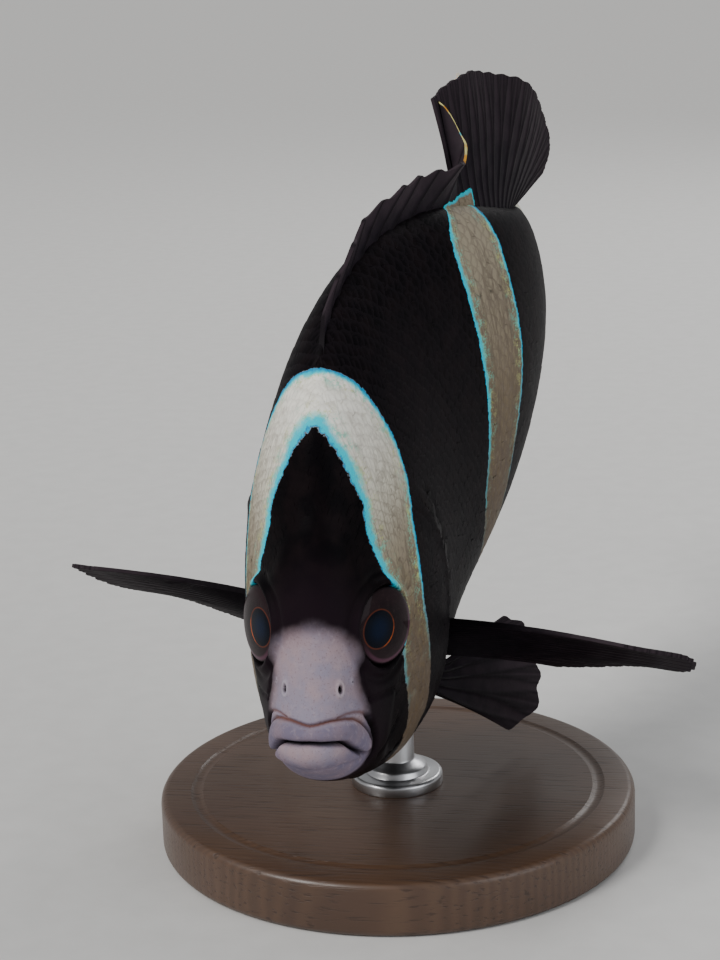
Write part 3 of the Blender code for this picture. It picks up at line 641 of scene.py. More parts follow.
def fish_finish(name, specular, scaled):
    """Black, bars and snout, for the bare skin or for the scales, whose rear rims show a little: darker on
    the bars, and lighter on the black, where that is a painted sheen.
    """
    # The small emission makes the bars' edges glow a little: a painted glow, as no lamp is there.
    f = Finish(name, IOR=1.36, Specular_IOR_Level=specular, Emission_Strength=0.20)
    where = f.place()
    ragged = f.noise(1900, 3.0, where, 0.62)
    patchy = f.noise(420, 2.0, where)
    streaks = f.noise(900, 2.0, where)
    speckle = f.noise(5200, 2.0, where)
    bar, tone, fore = f.stored("bar"), f.stored("tone"), f.stored("fore")
    face, lip, deep = f.stored("face"), f.stored("lip"), f.stored("deep")
    edge = bar + (ragged - 0.5) * 0.70 + (patchy - 0.5) * 0.30
    inside = f.step(edge, -0.04, 0.05)
    # Rims and flecks fade out where a bar is darkest, low down, which is partly painted shade.
    lit = f.step(tone + (patchy - 0.5) * 0.12, 0.08, 0.25)
    width = (0.50 + tone * 0.42) * (0.86 + fore * 0.40) + (streaks - 0.5) * 0.8
    rim = inside * f.step(edge / width + (patchy - 0.5) * 0.8, 1.35, 0.35) * lit
    flecks = f.step(speckle + (streaks - 0.5) * 0.8, 0.52, 0.66) * f.step(edge, 3.0, 0.6) * lit
    black = f.mix(f.step(patchy, 0.35, 0.75), BLACK, BROWN_BLACK)
    black = f.mix(f.step(face, -5.0, -0.8) * 0.8, black, PURPLE_BLACK)
    # The bars' colour runs from dark tan to warm white with their lightness, partly painted shade.
    pale = f.ramp(tone, [(0.0, (0.105, 0.072, 0.046)), (0.20, (0.185, 0.142, 0.090)),
                         (0.42, (0.33, 0.288, 0.212)), (0.66, (0.60, 0.57, 0.47)), (1.0, (0.90, 0.88, 0.80))])
    pale = f.mix(f.step(streaks, 0.45, 0.75) * 0.28, pale, (0.27, 0.22, 0.18))
    flow = f.node("CombineXYZ", X=bar * 0.85, Y=tone * 5.0, Z=patchy * 0.9)
    line = f.noise(1.0, 2.0, flow) - 0.5
    pale = f.mix(f.step(line * line, 0.0022, 0.0003) * (0.55 - tone * 0.45), pale, (0.11, 0.085, 0.065))
    if scaled:
        tip = f.stored("tip") + (ragged - 0.5) * 0.18
        pale = f.mix(f.step(tip, 0.80, 0.97) * (0.52 - tone * 0.36), pale, (0.13, 0.10, 0.08))
        # The black scales' rear tips are lighter away from the face: a painted sheen.
        painted_tip_sheen = f.step(tip, 0.72, 0.96) * f.step(face, -11.0, -17.0) * 0.38
        black = f.mix(painted_tip_sheen, black, (0.013, 0.010, 0.013))
    pale = f.mix(flecks * 0.75, pale, f.mix(f.step(patchy, 0.42, 0.58), FLECK, MINT))
    iridescence_and_glow = f.mix(f.step(edge / width, 0.02, 0.18 + (1 - fore) * 0.5), DEEP_BLUE, TURQUOISE)
    iridescence_and_glow = f.mix(f.step(edge / width + (speckle - 0.5) * 0.6, 0.60, 0.95) * 0.55, iridescence_and_glow, MINT)
    colour = f.mix(inside, black, f.mix(rim, pale, iridescence_and_glow))
    soft_face = f.step(face + (patchy - 0.5) * 0.5 + (ragged - 0.5) * 0.2, -0.40, 1.35)
    pink = f.mix(f.step(patchy, 0.3, 0.7), FACE_PINK, FACE_GREY)
    pink = f.mix(f.step(face + (streaks - 0.5) * 1.2, 2.4, 0.4) * 0.45, pink, (0.150, 0.105, 0.125))
    pink = f.mix(f.stored("lips") * (0.62 + (patchy - 0.5) * 0.5), pink, LIP_LILAC)
    pink = f.mix(f.step(speckle, 0.56, 0.74) * 0.42, pink, (0.15, 0.09, 0.10))
    pink = f.mix(f.step(ragged, 0.52, 0.72) * 0.22, pink, (0.46, 0.37, 0.40))
    colour = f.mix(soft_face, colour, pink)
    colour = f.mix(f.stored("nose") * soft_face * 0.25, colour, (0.62, 0.57, 0.62))
    colour = f.mix(lip * soft_face * 0.9, colour, CREASE_ORANGE)
    # Near-black painted shade in the mouth, nostrils, gill slit, pores and round the eye.
    colour = f.mix(deep, colour, (0.0022, 0.0014, 0.0018))
    # The edges' turquoise and blue is also emitted here: painted glow.
    link(f.tree, f.shader.inputs["Emission Color"], f.mix(rim * (1 - deep), (0.0, 0.0, 0.0), iridescence_and_glow))
    rough = 0.46 + soft_face * 0.06 + (speckle - 0.5) * 0.10
    return f.wear(colour, rough, (speckle, 0.000010), (ragged, 0.000015))


SKIN_FINISH = fish_finish("fish_skin", 0.05, False)
SCALE_FINISH = fish_finish("fish_scales", 0.055, True)
print("finishes:", SKIN_FINISH.name, len(SKIN_FINISH.node_tree.nodes), "nodes")

# %% [markdown]
# ## One skin
# A round ball has the right build for a fish: rings from pole to pole. Its north pole becomes the snout and
# its south pole the end of the tail stalk. Only the places of its points change, so the mesh stays closed all
# over. More rings go to the head, which has the finest shapes.

# %% Helpers that every piece needs
def add_piece(name, body_nodes, material):
    """Names the active object, gives it its finish, and puts it in its CAD nodes' stead."""
    piece = bpy.context.object
    piece.name = piece.data.name = name
    piece.data.materials.clear()
    piece.data.materials.append(material)
    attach(piece, "root")
    if body_nodes:
        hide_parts(*body_nodes)
    return piece


def move_points(piece, places):
    """Gives every vertex of the piece a new place, in metres."""
    piece.data.vertices.foreach_set("co", np.asarray(places, np.float32).ravel())
    piece.data.update()


def points_of(mesh):
    """The places of all vertices, one in each row."""
    found = np.empty(len(mesh.vertices) * 3, np.float32)
    mesh.vertices.foreach_get("co", found)
    return found.reshape(-1, 3).astype(float)


def pick(piece):
    """Selects this piece alone and makes it the active one."""
    bpy.ops.object.select_all(action="DESELECT")
    piece.select_set(True)
    bpy.context.view_layer.objects.active = piece


def recalculate_outside(piece):
    """Turns a closed piece's faces outwards. Folds can mislead the operator, so the volume decides."""
    pick(piece)
    bpy.ops.object.mode_set(mode="EDIT")
    bpy.ops.mesh.select_all(action="SELECT")
    bpy.ops.mesh.normals_make_consistent(inside=False)
    if bmesh.from_edit_mesh(piece.data).calc_volume(signed=True) < 0:
        bpy.ops.mesh.flip_normals()
    bpy.ops.object.mode_set(mode="OBJECT")


# %% The skin from a ball
SKIN_RINGS, SKIN_SEGMENTS = 340, 264
HEAD_SHARE, HEAD_TO = 0.70, 0.325  # this share of the rings lies ahead of this station
bpy.ops.mesh.primitive_uv_sphere_add(segments=SKIN_SEGMENTS, ring_count=SKIN_RINGS, radius=1.0)
ball = points_of(bpy.context.object.data)
share = np.arccos(np.clip(ball[:, 2], -1, 1)) / math.pi
turn = np.mod(np.arctan2(ball[:, 1], ball[:, 0]) / (2 * math.pi), 1.0)
root = np.interp(share, [0, HEAD_SHARE, 1], [ROW_ROOTS[0], math.sqrt(HEAD_TO), ROW_ROOTS[-1]])
places, spots = skin_points(root ** 2, turn)
poles = (share < 1e-6) | (share > 1 - 1e-6)
for pole in np.flatnonzero(poles):
    near = np.abs(share - share[pole]) < 1.5 / SKIN_RINGS
    near[pole] = False
    places[pole] = places[near].mean(axis=0)
skin = add_piece("skin", ["head", "lower_jaw", "gill_cover_left", "gill_cover_right", "trunk", "tail_stalk"],
                 SKIN_FINISH)
move_points(skin, places)
mark(skin.data, spots)
recalculate_outside(skin)
bpy.ops.object.shade_smooth()
print("skin:", len(skin.data.polygons), "faces")

# %% [markdown]
# ## The coat of scales
# Scales grow in rows that run along the flank. Each one overlaps the scale behind it, and rows are shifted by
# half a scale. One thin, slightly domed plate with a rounded rear edge is laid out as a pattern. It is then
# set down thousands of times on the skin's surface and bent to it. All copies are joined into a few meshes,
# as an array would be, because a modifier can't bend each copy to a curved, tapering body.

# %% One scale
SCALE_STEP, ROW_STEP = 0.0135, 0.0140  # between scales of a row, and between rows
PLATE_LENGTH, PLATE_HALF = 2.35, 1.16  # a plate's length in scale steps, and half its width in row steps
ACROSS, DOWN = 6, 4  # divisions of one plate
PLATE_SUNK, PLATE_JITTER = 0.0004, 0.0003  # how deep a plate's front is set, and how much that varies
FIRST_COVER, COVER_REACH = 0.40, 0.110  # the lift at the coat's front edge, and the way back to a full one
COAT_START, COAT_END = 0.092, 1.052
EYE_BARE, SLIT_BARE = 0.059, 0.0050  # no scale has its root closer to the eye's middle or the gill slit
scale_size = smooth_curve([(0.09, 0.42), (0.15, 0.48), (0.22, 0.62), (0.32, 0.82), (0.42, 1.0), (0.70, 0.98),
                           (0.90, 0.74), (1.05, 0.55)])


def plate_pattern():
    """The plate's points as (across, rearward, lift, share of the way rearward), its faces and its rim."""
    points, index = [], {}
    for j in range(DOWN + 1):
        for i in range(ACROSS + 1):
            a = 2 * i / ACROSS - 1
            rear = (j / DOWN) ** 0.85
            index[i, j] = len(points)
            reach = 1 - 0.50 * abs(a) ** 2.3
            lift = rear - 0.16 * a * a - 0.10 * ease(0.8, 1.0, rear)
            points.append((a * (1 - 0.10 * (1 - rear)), rear * reach, lift, rear))
    faces = [(index[i, j], index[i + 1, j], index[i + 1, j + 1], index[i, j + 1])
             for j in range(DOWN) for i in range(ACROSS)]
    rim = [index[i, 0] for i in range(ACROSS)] + [index[ACROSS, j] for j in range(DOWN)]
    rim += [index[i, DOWN] for i in range(ACROSS, 0, -1)] + [index[0, j] for j in range(DOWN, 0, -1)]
    return np.array(points), faces, rim


print("one scale:", len(plate_pattern()[0]), "points")


# %% Where the scales are rooted
def scale_roots():
    """(along, turn, size) of every scale's root, on both sides."""
    roots = []
    along, column = COAT_START, 0
    while along < COAT_END:
        size = float(scale_size(along))
        around, middle = float(girth(along)), float(side_turn(along))
        row_step = ROW_STEP * size / around
        rows = int(0.5 / row_step) + 2
        for row in range(-rows, rows + 1):
            turn = middle + (row + 0.5 * (column % 2)) * row_step * 2
            if not -0.4 * row_step < turn < 0.5 + 0.4 * row_step:
                continue
            for where in (turn, 1 - turn):
                roots.append((along, where, size))
        along += SCALE_STEP * size / 2
        column += 1
    return np.array(roots)


def in_coat(roots):
    """Leaves out roots on bare skin and too close to the eye or the gill slit."""
    along, turn = roots[:, 0], roots[:, 1]
    left, above = on_section(along, turn)
    spots = np.stack([along, np.abs(left), above], -1)
    clear = np.linalg.norm(spots - EYE, axis=1) > EYE_BARE
    slit = (distance_to(spots, GILL_EDGE) < SLIT_BARE) & (above < 0.085)
    return roots[clear & ~slit & (along > coat_front(above) + 0.002)]


roots = in_coat(scale_roots())
print("scales:", len(roots))


# %% Scales bent to the skin
def build_scales(roots, name, random):
    """One mesh of plates, a plate for each root, bent to the skin and each a little different."""
    pattern, faces, rim = plate_pattern()
    count, each = len(roots), len(pattern)
    along0, turn0, size = (roots[:, k][:, None] for k in range(3))
    jitter = random.uniform(-1, 1, (count, 3))
    length = SCALE_STEP * PLATE_LENGTH * size * (1 + 0.06 * jitter[:, :1])
    half = ROW_STEP * PLATE_HALF * size * (1 + 0.05 * jitter[:, 1:2])
    along = np.minimum(along0 + pattern[None, :, 1] * length - 0.2 * SCALE_STEP * size, TAIL_END - 1e-4)
    across = pattern[None, :, 0] * half / girth(np.maximum(along0, 0.02))
    side = np.where(np.mod(turn0, 1.0) > 0.5, -1.0, 1.0)
    turn = turn0 + across * side
    above0 = on_section(along0[:, 0], turn0[:, 0])[1]
    full = ease(0.0, COVER_REACH, along0[:, 0] - coat_front(above0))[:, None]
    cover = FIRST_COVER + (1 - FIRST_COVER) * full
    base = -PLATE_SUNK + PLATE_JITTER * jitter[:, 2:3] * cover
    lift = base + (COAT_DEPTH + 0.0006) * pattern[None, :, 2] * np.minimum(size + 0.25, 1.0) * cover
    places, spots = skin_points(along, turn, lift)
    mesh = bpy.data.meshes.new(name)
    shift = (np.arange(count) * each)[:, None, None]
    quads, bottoms = np.array(faces)[None] + shift, np.array(rim)[None] + shift[:, 0]
    # On the right side the plate is mirrored, so it is wound the other way round, to face outwards too.
    on_right = side[:, 0] < 0
    quads[~on_right] = quads[~on_right, :, ::-1]
    bottoms[on_right] = bottoms[on_right, ::-1]
    quads = quads.reshape(-1, 4)
    mesh.from_pydata(places.reshape(-1, 3).tolist(), [], quads.tolist() + bottoms.tolist())
    mesh.update()
    piece = bpy.data.objects.new(name, mesh)
    bpy.context.scene.collection.objects.link(piece)
    mark(mesh, spots.reshape(-1, 3))
    store(mesh, "tip", np.tile(pattern[:, 3], count))
    lay_bake_map(mesh, roots, pattern, each)
    return piece


PATCH = 0.003  # side of one scale's patch on the map


def lay_bake_map(mesh, roots, pattern, each):
    """A map in which each scale is a small patch at its root's place on the unrolled skin."""
    centre = np.stack([0.02 + 0.96 * roots[:, 0] / TAIL_END, 0.02 + 0.96 * np.mod(roots[:, 1], 1.0)], -1)
    local = np.stack([pattern[:, 1] - 0.5, pattern[:, 0] * 0.5], -1) * PATCH
    places = (centre[:, None, :] + local[None]).reshape(-1, 2)
    layer = mesh.uv_layers.new(name="OFBake")
    corner = np.empty(len(mesh.loops), np.int32)
    mesh.loops.foreach_get("vertex_index", corner)
    layer.uv.foreach_set("vector", places[corner].astype(np.float32).ravel())


# %% Thousands of scales
SCALE_GROUPS = 3  # meshes, so that each stays small enough
random = np.random.default_rng(11)
groups = np.array_split(roots[np.argsort(roots[:, 0], kind="stable")], SCALE_GROUPS)
for number, group in enumerate(groups):
    piece = build_scales(group, f"scales_{number + 1}", random)
    pick(piece)
    bpy.ops.object.shade_smooth_by_angle(angle=math.radians(50))
    add_piece(f"scales_{number + 1}", [], SCALE_FINISH)
    triangles = sum(len(p.vertices) - 2 for p in piece.data.polygons)
    print(piece.name, len(group), "scales", triangles, "triangles")

# %% [markdown]
# ## Fins
# A fin is a thin web stretched over rays. Spines are single and stiff. Soft rays split in two, and again near
# the edge. A flat grid is laid on the fin's curved sheet, and a weight for each point says how thick the fin
# is there. The Solidify modifier then gives the web, the rays and the swelling at the root in one go. The
# middle bar runs on over the roots of both dorsal fins.

# %% The outlines of the fins
SUNK = 0.03  # how far a fin's root is sunk into the body
SPINES, SOFT_RAYS, ANAL_RAYS, TAIL_RAYS = 11, 16, 14, 17
SPINY_START, SPINY_END = 0.290, 0.640
SOFT_START, SOFT_END = SPINY_END - 0.004, 0.862
SPINY_LENGTH = [(0, 0.030), (0.2, 0.058), (0.5, 0.074), (0.75, 0.070), (0.88, 0.072), (1, 0.118)]
SPINY_ANGLE = [(0, 30), (0.5, 22), (0.8, 24), (0.92, 44), (1, 70)]
SPINY_LEAN = [(0, 0), (0.5, 4), (0.8, -6), (0.92, 2), (1, 17)]
SOFT_LENGTH = [(0, 0.122), (0.12, 0.142), (0.3, 0.157), (0.5, 0.156), (0.72, 0.137), (0.88, 0.108),
               (1, 0.056)]
SOFT_ANGLE = [(0, 72), (0.4, 60), (0.75, 44), (1, 26)]
SOFT_LEAN = [(0, 19), (0.25, 12), (0.6, -8), (1, -38)]
ANAL_START, ANAL_END = 0.63, 0.868
ANAL_LENGTH = [(0, 0.040), (0.12, 0.070), (0.3, 0.112), (0.5, 0.134), (0.75, 0.126), (0.9, 0.098), (1, 0.066)]
ANAL_ANGLE = [(0, 56), (0.4, 50), (0.75, 38), (1, 24)]
ANAL_LEAN = [(0, 14), (0.6, 20), (1, 18)]
TAIL_BASE, TAIL_SUNK = (-0.074, 0.070), 0.02
TAIL_SPREAD = math.radians(18)
TAIL_LENGTH = [(0, 0.214), (0.14, 0.228), (0.34, 0.221), (0.5, 0.216), (0.66, 0.221), (0.86, 0.228),
               (1, 0.214)]
PECTORAL = {"along": 0.352, "above": -0.174, "half_root": 0.046, "length": 0.285, "spread": 31,
            "root": (0.42, 0.0, -0.91), "out": (0.20, 0.94, -0.10), "chord": (0.74, -0.10, -0.66),
            "sink": (-0.2, -1.0, 0.1), "rays": 18, "notch": 0.02,
            "edge": [(0, 0.80), (0.15, 0.95), (0.35, 1.0), (0.6, 0.93), (0.85, 0.72), (1, 0.50)]}
PELVIC = {"along": 0.325, "above": -0.222, "half_root": 0.024, "length": 0.235, "spread": 22,
          "root": (1.0, 0.0, -0.10), "out": (0.80, 0.42, -0.44), "chord": (0.55, 0.10, 0.80),
          "sink": (-0.3, -0.45, 0.85), "rays": 6, "notch": 0.04,
          "edge": [(0, 0.78), (0.2, 1.0), (0.5, 0.92), (0.8, 0.74), (1, 0.58)]}
RIGHT_SWEEP = 0.07  # the right fins are held a little further back
DROOP = 0.30  # how fast a paired fin sinks towards its tip
SIDES = ((1, "left"), (-1, "right"))
print("longest pectoral ray, mm:", round(PECTORAL["length"] / MM, 1))


# %% The sheets of the middle fins
def ripple(u, t, waves, height):
    """A slight waviness of the web that grows towards its edge."""
    return height * t * t * np.sin(2 * math.pi * (waves * u + 0.25 * t))


def scallop(u, rays, notch):
    """The share of its length that a fin keeps: all of it at a ray and less between two."""
    return 1 - notch * np.sin(math.pi * np.mod(u * (rays - 1), 1.0)) ** 2


def median_sheet(start, end, edge, length, angle, lean, rays, notch, waves=2.5):
    """The sheet of a fin on the middle line, over u from front to back and t from root to edge."""
    length, angle, lean = (smooth_curve(c) for c in (length, angle, lean))
    up = 1 if edge is back else -1

    def sheet(u, t):
        along = start + (end - start) * u
        rise, side = np.radians(angle(u)), np.radians(lean(u))
        reach = -SUNK + t * (length(u) * scallop(u, rays, notch) + SUNK)
        out = np.maximum(reach, 0.0)
        shorter = np.where(reach < 0, reach, np.cos(side) * out)
        sway = np.sin(side) * out + ripple(u, t, waves, 0.004)
        return place(along + np.cos(rise) * shorter, -sway, edge(along) + up * np.sin(rise) * shorter)

    return sheet


def tail_sheet(u, t):
    """The tail fin's sheet, over u from below to above and t from root to edge."""
    fan = (2 * u - 1) * TAIL_SPREAD
    base = TAIL_BASE[0] + (TAIL_BASE[1] - TAIL_BASE[0]) * u
    reach = -TAIL_SUNK + t * (smooth_curve(TAIL_LENGTH)(u) * scallop(u, TAIL_RAYS, 0.014) + TAIL_SUNK)
    bow = 0.035 * np.maximum(reach, 0) * (1 - np.abs(2 * u - 1)) + ripple(u, t, 2.5, 0.003)
    return place(1.0 + np.cos(fan) * reach, -bow, base + np.sin(fan) * np.maximum(reach, 0))


tail_tip = tail_sheet(np.array(1.0), np.array(1.0))
print("upper tip of the tail fin at, mm:", [round(float(v) * 1000, 1) for v in tail_tip])


# %% The sheets of the paired fins
def unit(vector):
    return np.array(vector, float) / np.linalg.norm(vector)


def square_to(vector, *others):
    """The unit vector nearest to this one that stands square to all the others."""
    vector = np.array(vector, float)
    for other in others:
        vector = vector - other * (vector @ other)
    return unit(vector)


def side_width(along, above):
    """How far the skin lies from the middle plane at this place on the side."""
    middle = widest_at(along)
    tall = back(along) - middle if above > middle else middle - belly(along)
    power = upper_power(along) if above > middle else lower_power(along)
    share = min(abs(above - middle) / tall, 1.0) ** (1 / power)
    return float(half_width(along) * math.sqrt(1 - share * share) ** power)


def paired_sheet(fin, side):
    """The sheet of a pectoral or pelvic fin. It keeps its stance to the body at its root and isn't bent."""
    edge, mirror = smooth_curve(fin["edge"]), np.array([1, side, 1])
    out = unit(np.array(fin["out"]) + (np.array([RIGHT_SWEEP, 0, 0]) if side < 0 else 0))
    chord = square_to(fin["chord"], out) * mirror
    out, line, sink = out * mirror, unit(fin["root"]) * mirror, unit(fin["sink"]) * mirror
    middle = np.array([fin["along"], side * side_width(fin["along"], fin["above"]), fin["above"]])
    turn = float(heading(fin["along"]))
    rear = np.array([math.sin(turn), math.cos(turn) * math.cos(NOSE_DOWN),
                     math.cos(turn) * math.sin(NOSE_DOWN)])

    def sheet(u, t):
        swing = (2 * u - 1)[..., None]
        fan = math.radians(fin["spread"]) * swing
        tip = fin["length"] * edge(u) * scallop(u, fin["rays"], fin["notch"])
        reach = (-SUNK + t * (tip + SUNK))[..., None]
        way = out * np.cos(fan) + chord * np.sin(fan)
        way = way / np.linalg.norm(way, axis=-1, keepdims=True)
        spot = middle + line * fin["half_root"] * swing + np.where(reach > 0, way, -sink) * reach
        spot[..., 2] -= DROOP * np.maximum(reach[..., 0], 0) ** 2 + ripple(u, t, 2.0, 0.004)
        origin = place(np.full(u.shape, fin["along"]), spot[..., 1], spot[..., 2])
        return origin + rear * ((spot[..., 0] - fin["along"]) * BODY_LENGTH)[..., None]

    return sheet


print("half width at the pectoral root, mm:", round(side_width(PECTORAL["along"], PECTORAL["above"]) / MM, 1))


# %% Finish of the dark fins and the pale tail
def ray_joints(f, outward, number):
    """Even bands across the rays, where a soft ray's short bony pieces meet."""
    settings = {"wave_type": "BANDS", "bands_direction": "X"}
    along_ray = f.node("CombineXYZ", X=outward * number, Y=0.0, Z=0.0)
    return f.node("TexWave", settings, output="Fac", Scale=1.0, Distortion=0.0, Vector=along_ray)


def dark_fin_finish():
    f = Finish("fin_dark", IOR=1.36, Specular_IOR_Level=0.11)
    outward, ray, rim, where = f.stored("outward"), f.stored("ray"), f.stored("rim"), f.place()
    patchy, fine = f.noise(500, 2.0, where), f.noise(3200, 2.0, where)
    joints = ray_joints(f, outward, 9.0)
    web = f.mix(f.step(patchy, 0.3, 0.75), (0.0080, 0.0058, 0.0092), (0.0145, 0.0098, 0.0145))
    web = f.mix(f.step(outward + (patchy - 0.5) * 0.4, 0.30, 1.05) * 0.75, web, (0.0420, 0.0300, 0.0370))
    bone = f.mix(joints * 0.5, (0.0062, 0.0046, 0.0064), (0.0036, 0.0028, 0.0040))
    colour = f.mix(ray * 0.85, web, bone)
    # The orange, yellow-green and turquoise line on the fin's edge is partly its own colour and partly a
    # painted glint.
    margin_and_glint = f.step(rim + (f.noise(1400, 1.0, where) - 0.5) * 0.9, 0.50, 0.80)
    tint = f.mix(f.step(f.noise(900, 1.0, where), 0.42, 0.56), (0.62, 0.30, 0.04), (0.66, 0.60, 0.24))
    tint = f.mix(f.step(f.noise(700, 1.0, where), 0.54, 0.62), tint, TURQUOISE)
    colour = f.mix(margin_and_glint, colour, tint)
    edge = f.stored("bar") + (f.noise(1900, 3.0, where) - 0.5) * 0.7
    pale = f.mix(f.step(fine, 0.40, 0.65) * 0.5, (0.23, 0.19, 0.135), (0.12, 0.095, 0.070))
    colour = f.mix(f.step(edge, -0.04, 0.05), colour, f.mix(f.step(edge, 0.52, 0.22), pale, TURQUOISE))
    return f.wear(colour, 0.56 + (fine - 0.5) * 0.14, (ray + joints * ray * 0.35, 0.00002), (fine, 0.000012))


def pale_fin_finish():
    f = Finish("fin_pale", IOR=1.40, Specular_IOR_Level=0.32, Subsurface_Weight=0.18,
               Subsurface_Scale=0.0015)
    outward, ray, where = f.stored("outward"), f.stored("ray"), f.place()
    patchy, fine = f.noise(380, 2.0, where), f.noise(3000, 2.0, where)
    joints = ray_joints(f, outward, 11.0)
    web = f.ramp(outward + (patchy - 0.5) * 0.2, [(0.0, (0.62, 0.59, 0.50)), (0.45, (0.64, 0.60, 0.50)),
                                                  (0.85, (0.58, 0.55, 0.46)), (1.0, (0.47, 0.44, 0.36))])
    bone = f.mix(joints * 0.45, (0.83, 0.79, 0.68), (0.62, 0.56, 0.44))
    colour = f.mix(ray * 0.8, web, bone)
    return f.wear(colour, 0.42 + (fine - 0.5) * 0.12, (ray + joints * ray * 0.35, 0.00005), (fine, 0.000012))


DARK_FIN, PALE_FIN = dark_fin_finish(), pale_fin_finish()
print("finishes:", DARK_FIN.name, "and", PALE_FIN.name)

# %% A fin from a grid and Solidify
COLUMNS_PER_RAY, COLUMNS_PER_SPINE, FIN_ROWS = 12, 16, 54
WEB, RAY, ROOT = 0.00034, 0.00070, 0.0021  # thickness of the web, over a ray, and at the root


def ray_profile(u, t, rays, splits):
    """1 on a ray, 0 on the web. A soft ray opens into two and then four branches."""
    phase = np.mod(u * (rays - 1) + 0.5, 1.0) - 0.5
    if not splits:
        return bump(phase, 0.16 - 0.07 * t)
    first, second = 0.22 * ease(0.30, 1.0, t), 0.10 * ease(0.62, 1.0, t)
    width = 0.15 - 0.095 * t
    lines = [bump(phase - a * first - b * second, width) for a in (-1, 1) for b in (-1, 1)]
    return np.clip(np.max(lines, axis=0), 0, 1)


def make_fin(name, node, sheet, rays, material, splits=True, rim=None, root=ROOT, bar=None):
    """A fin on this sheet in its CAD node's stead. Rays that don't split are spines."""
    columns = (COLUMNS_PER_RAY if splits else COLUMNS_PER_SPINE) * (rays - 1)
    bpy.ops.mesh.primitive_grid_add(x_subdivisions=columns, y_subdivisions=FIN_ROWS, size=1.0)
    grid = points_of(bpy.context.object.data)
    u, t = np.clip(grid[:, 0] + 0.5, 0, 1), np.clip(grid[:, 1] + 0.5, 0, 1)
    fin = add_piece(name, [node], material)
    move_points(fin, sheet(u, t))
    ray = ray_profile(u, t, rays, splits)
    taper = 1 - 0.55 * t
    swell = np.maximum(0.0, 1 - t / 0.34) ** 2 * (1 - np.abs(2 * u - 1) ** 5)
    thick = WEB + (RAY - WEB) * ray * taper + (root - WEB) * swell
    group = fin.vertex_groups.new(name="thickness")
    for step in np.unique(np.round(thick / ROOT, 3)):
        members = np.flatnonzero(np.round(thick / ROOT, 3) == step)
        group.add(members.tolist(), float(min(step, 1.0)), "REPLACE")
    rim_share = rim(u, t) if rim else 0 * u
    bar_depth = bar(u, t) if bar else 0 * u - 9
    for key, values in (("outward", t), ("ray", ray), ("rim", rim_share), ("bar", bar_depth)):
        store(fin.data, key, values)
    solid = fin.modifiers.new("thickness", "SOLIDIFY")
    solid.thickness, solid.offset, solid.use_rim = ROOT, 0.0, True
    solid.vertex_group = "thickness"
    pick(fin)
    bpy.ops.object.modifier_apply(modifier=solid.name)
    recalculate_outside(fin)
    bpy.ops.object.shade_smooth_by_angle(angle=math.radians(60))
    print(name, len(fin.data.polygons), "faces")


# %% All fins
def spiny_rim(u, t):
    """The bright line along the front fin's edge, partly its own colour and partly a painted glint, clearest
    on its last, standing part.
    """
    last = ease(0.80, 0.90, u)
    return ease(0.972, 0.992, t) * (0.30 + 0.70 * last) * ease(0.02, 0.10, u)


ROOT_BAR, ROOT_BAR_HEIGHT = (0.602, 0.672), 0.018  # the stations it lies between, and its height in front


def root_bar(start, end, length):
    """Millimetres inside the middle bar where it runs on over a dorsal fin's root."""
    length = smooth_curve(length)

    def inside(u, t):
        along, up = start + (end - start) * u, t * (length(u) + SUNK) - SUNK
        behind, ahead = along - ROOT_BAR[0], ROOT_BAR[1] - along
        return np.minimum(np.minimum(behind, ahead), ROOT_BAR_HEIGHT - 0.20 * ahead - up) / MM

    return inside


spiny = median_sheet(SPINY_START, SPINY_END, back, SPINY_LENGTH, SPINY_ANGLE, SPINY_LEAN, SPINES, 0.10, 3.0)
make_fin("dorsal_fin_front", "dorsal_fin_spiny", spiny, SPINES, DARK_FIN, False, spiny_rim,
         bar=root_bar(SPINY_START, SPINY_END, SPINY_LENGTH))
soft = median_sheet(SOFT_START, SOFT_END, back, SOFT_LENGTH, SOFT_ANGLE, SOFT_LEAN, SOFT_RAYS, 0.012)
make_fin("dorsal_fin_rear", "dorsal_fin_soft", soft, SOFT_RAYS, DARK_FIN,
         bar=root_bar(SOFT_START, SOFT_END, SOFT_LENGTH))
anal = median_sheet(ANAL_START, ANAL_END, belly, ANAL_LENGTH, ANAL_ANGLE, ANAL_LEAN, ANAL_RAYS, 0.012)
make_fin("anal_fin_web", "anal_fin", anal, ANAL_RAYS, DARK_FIN)
make_fin("tail_fin_web", "tail_fin", tail_sheet, TAIL_RAYS, PALE_FIN, root=0.0013)
for side, word in SIDES:
    for kind, shape in (("pectoral", PECTORAL), ("pelvic", PELVIC)):
        sheet = paired_sheet(shape, side)
        make_fin(f"{kind}_web_{word}", f"{kind}_fin_{word}", sheet, shape["rays"], DARK_FIN)

# %% [markdown]
# ## Eyes
# The eye is a flattened ball with a clear, bulging window. Its large blue-black pupil sits in a dark iris
# with a thin orange line at its edge. A ball is flattened, most of all in front, so that it bulges only a
# little from its socket, and it is turned to look out from the skin and slightly forward. The rings are drawn
# from each point's place across the eye, so they stay round on both sides.

# %% The eye's finish
def length_of(a, b):
    """The length of a step that goes this far one way and this far square to it."""
    return (a * a + b * b) ** 0.5


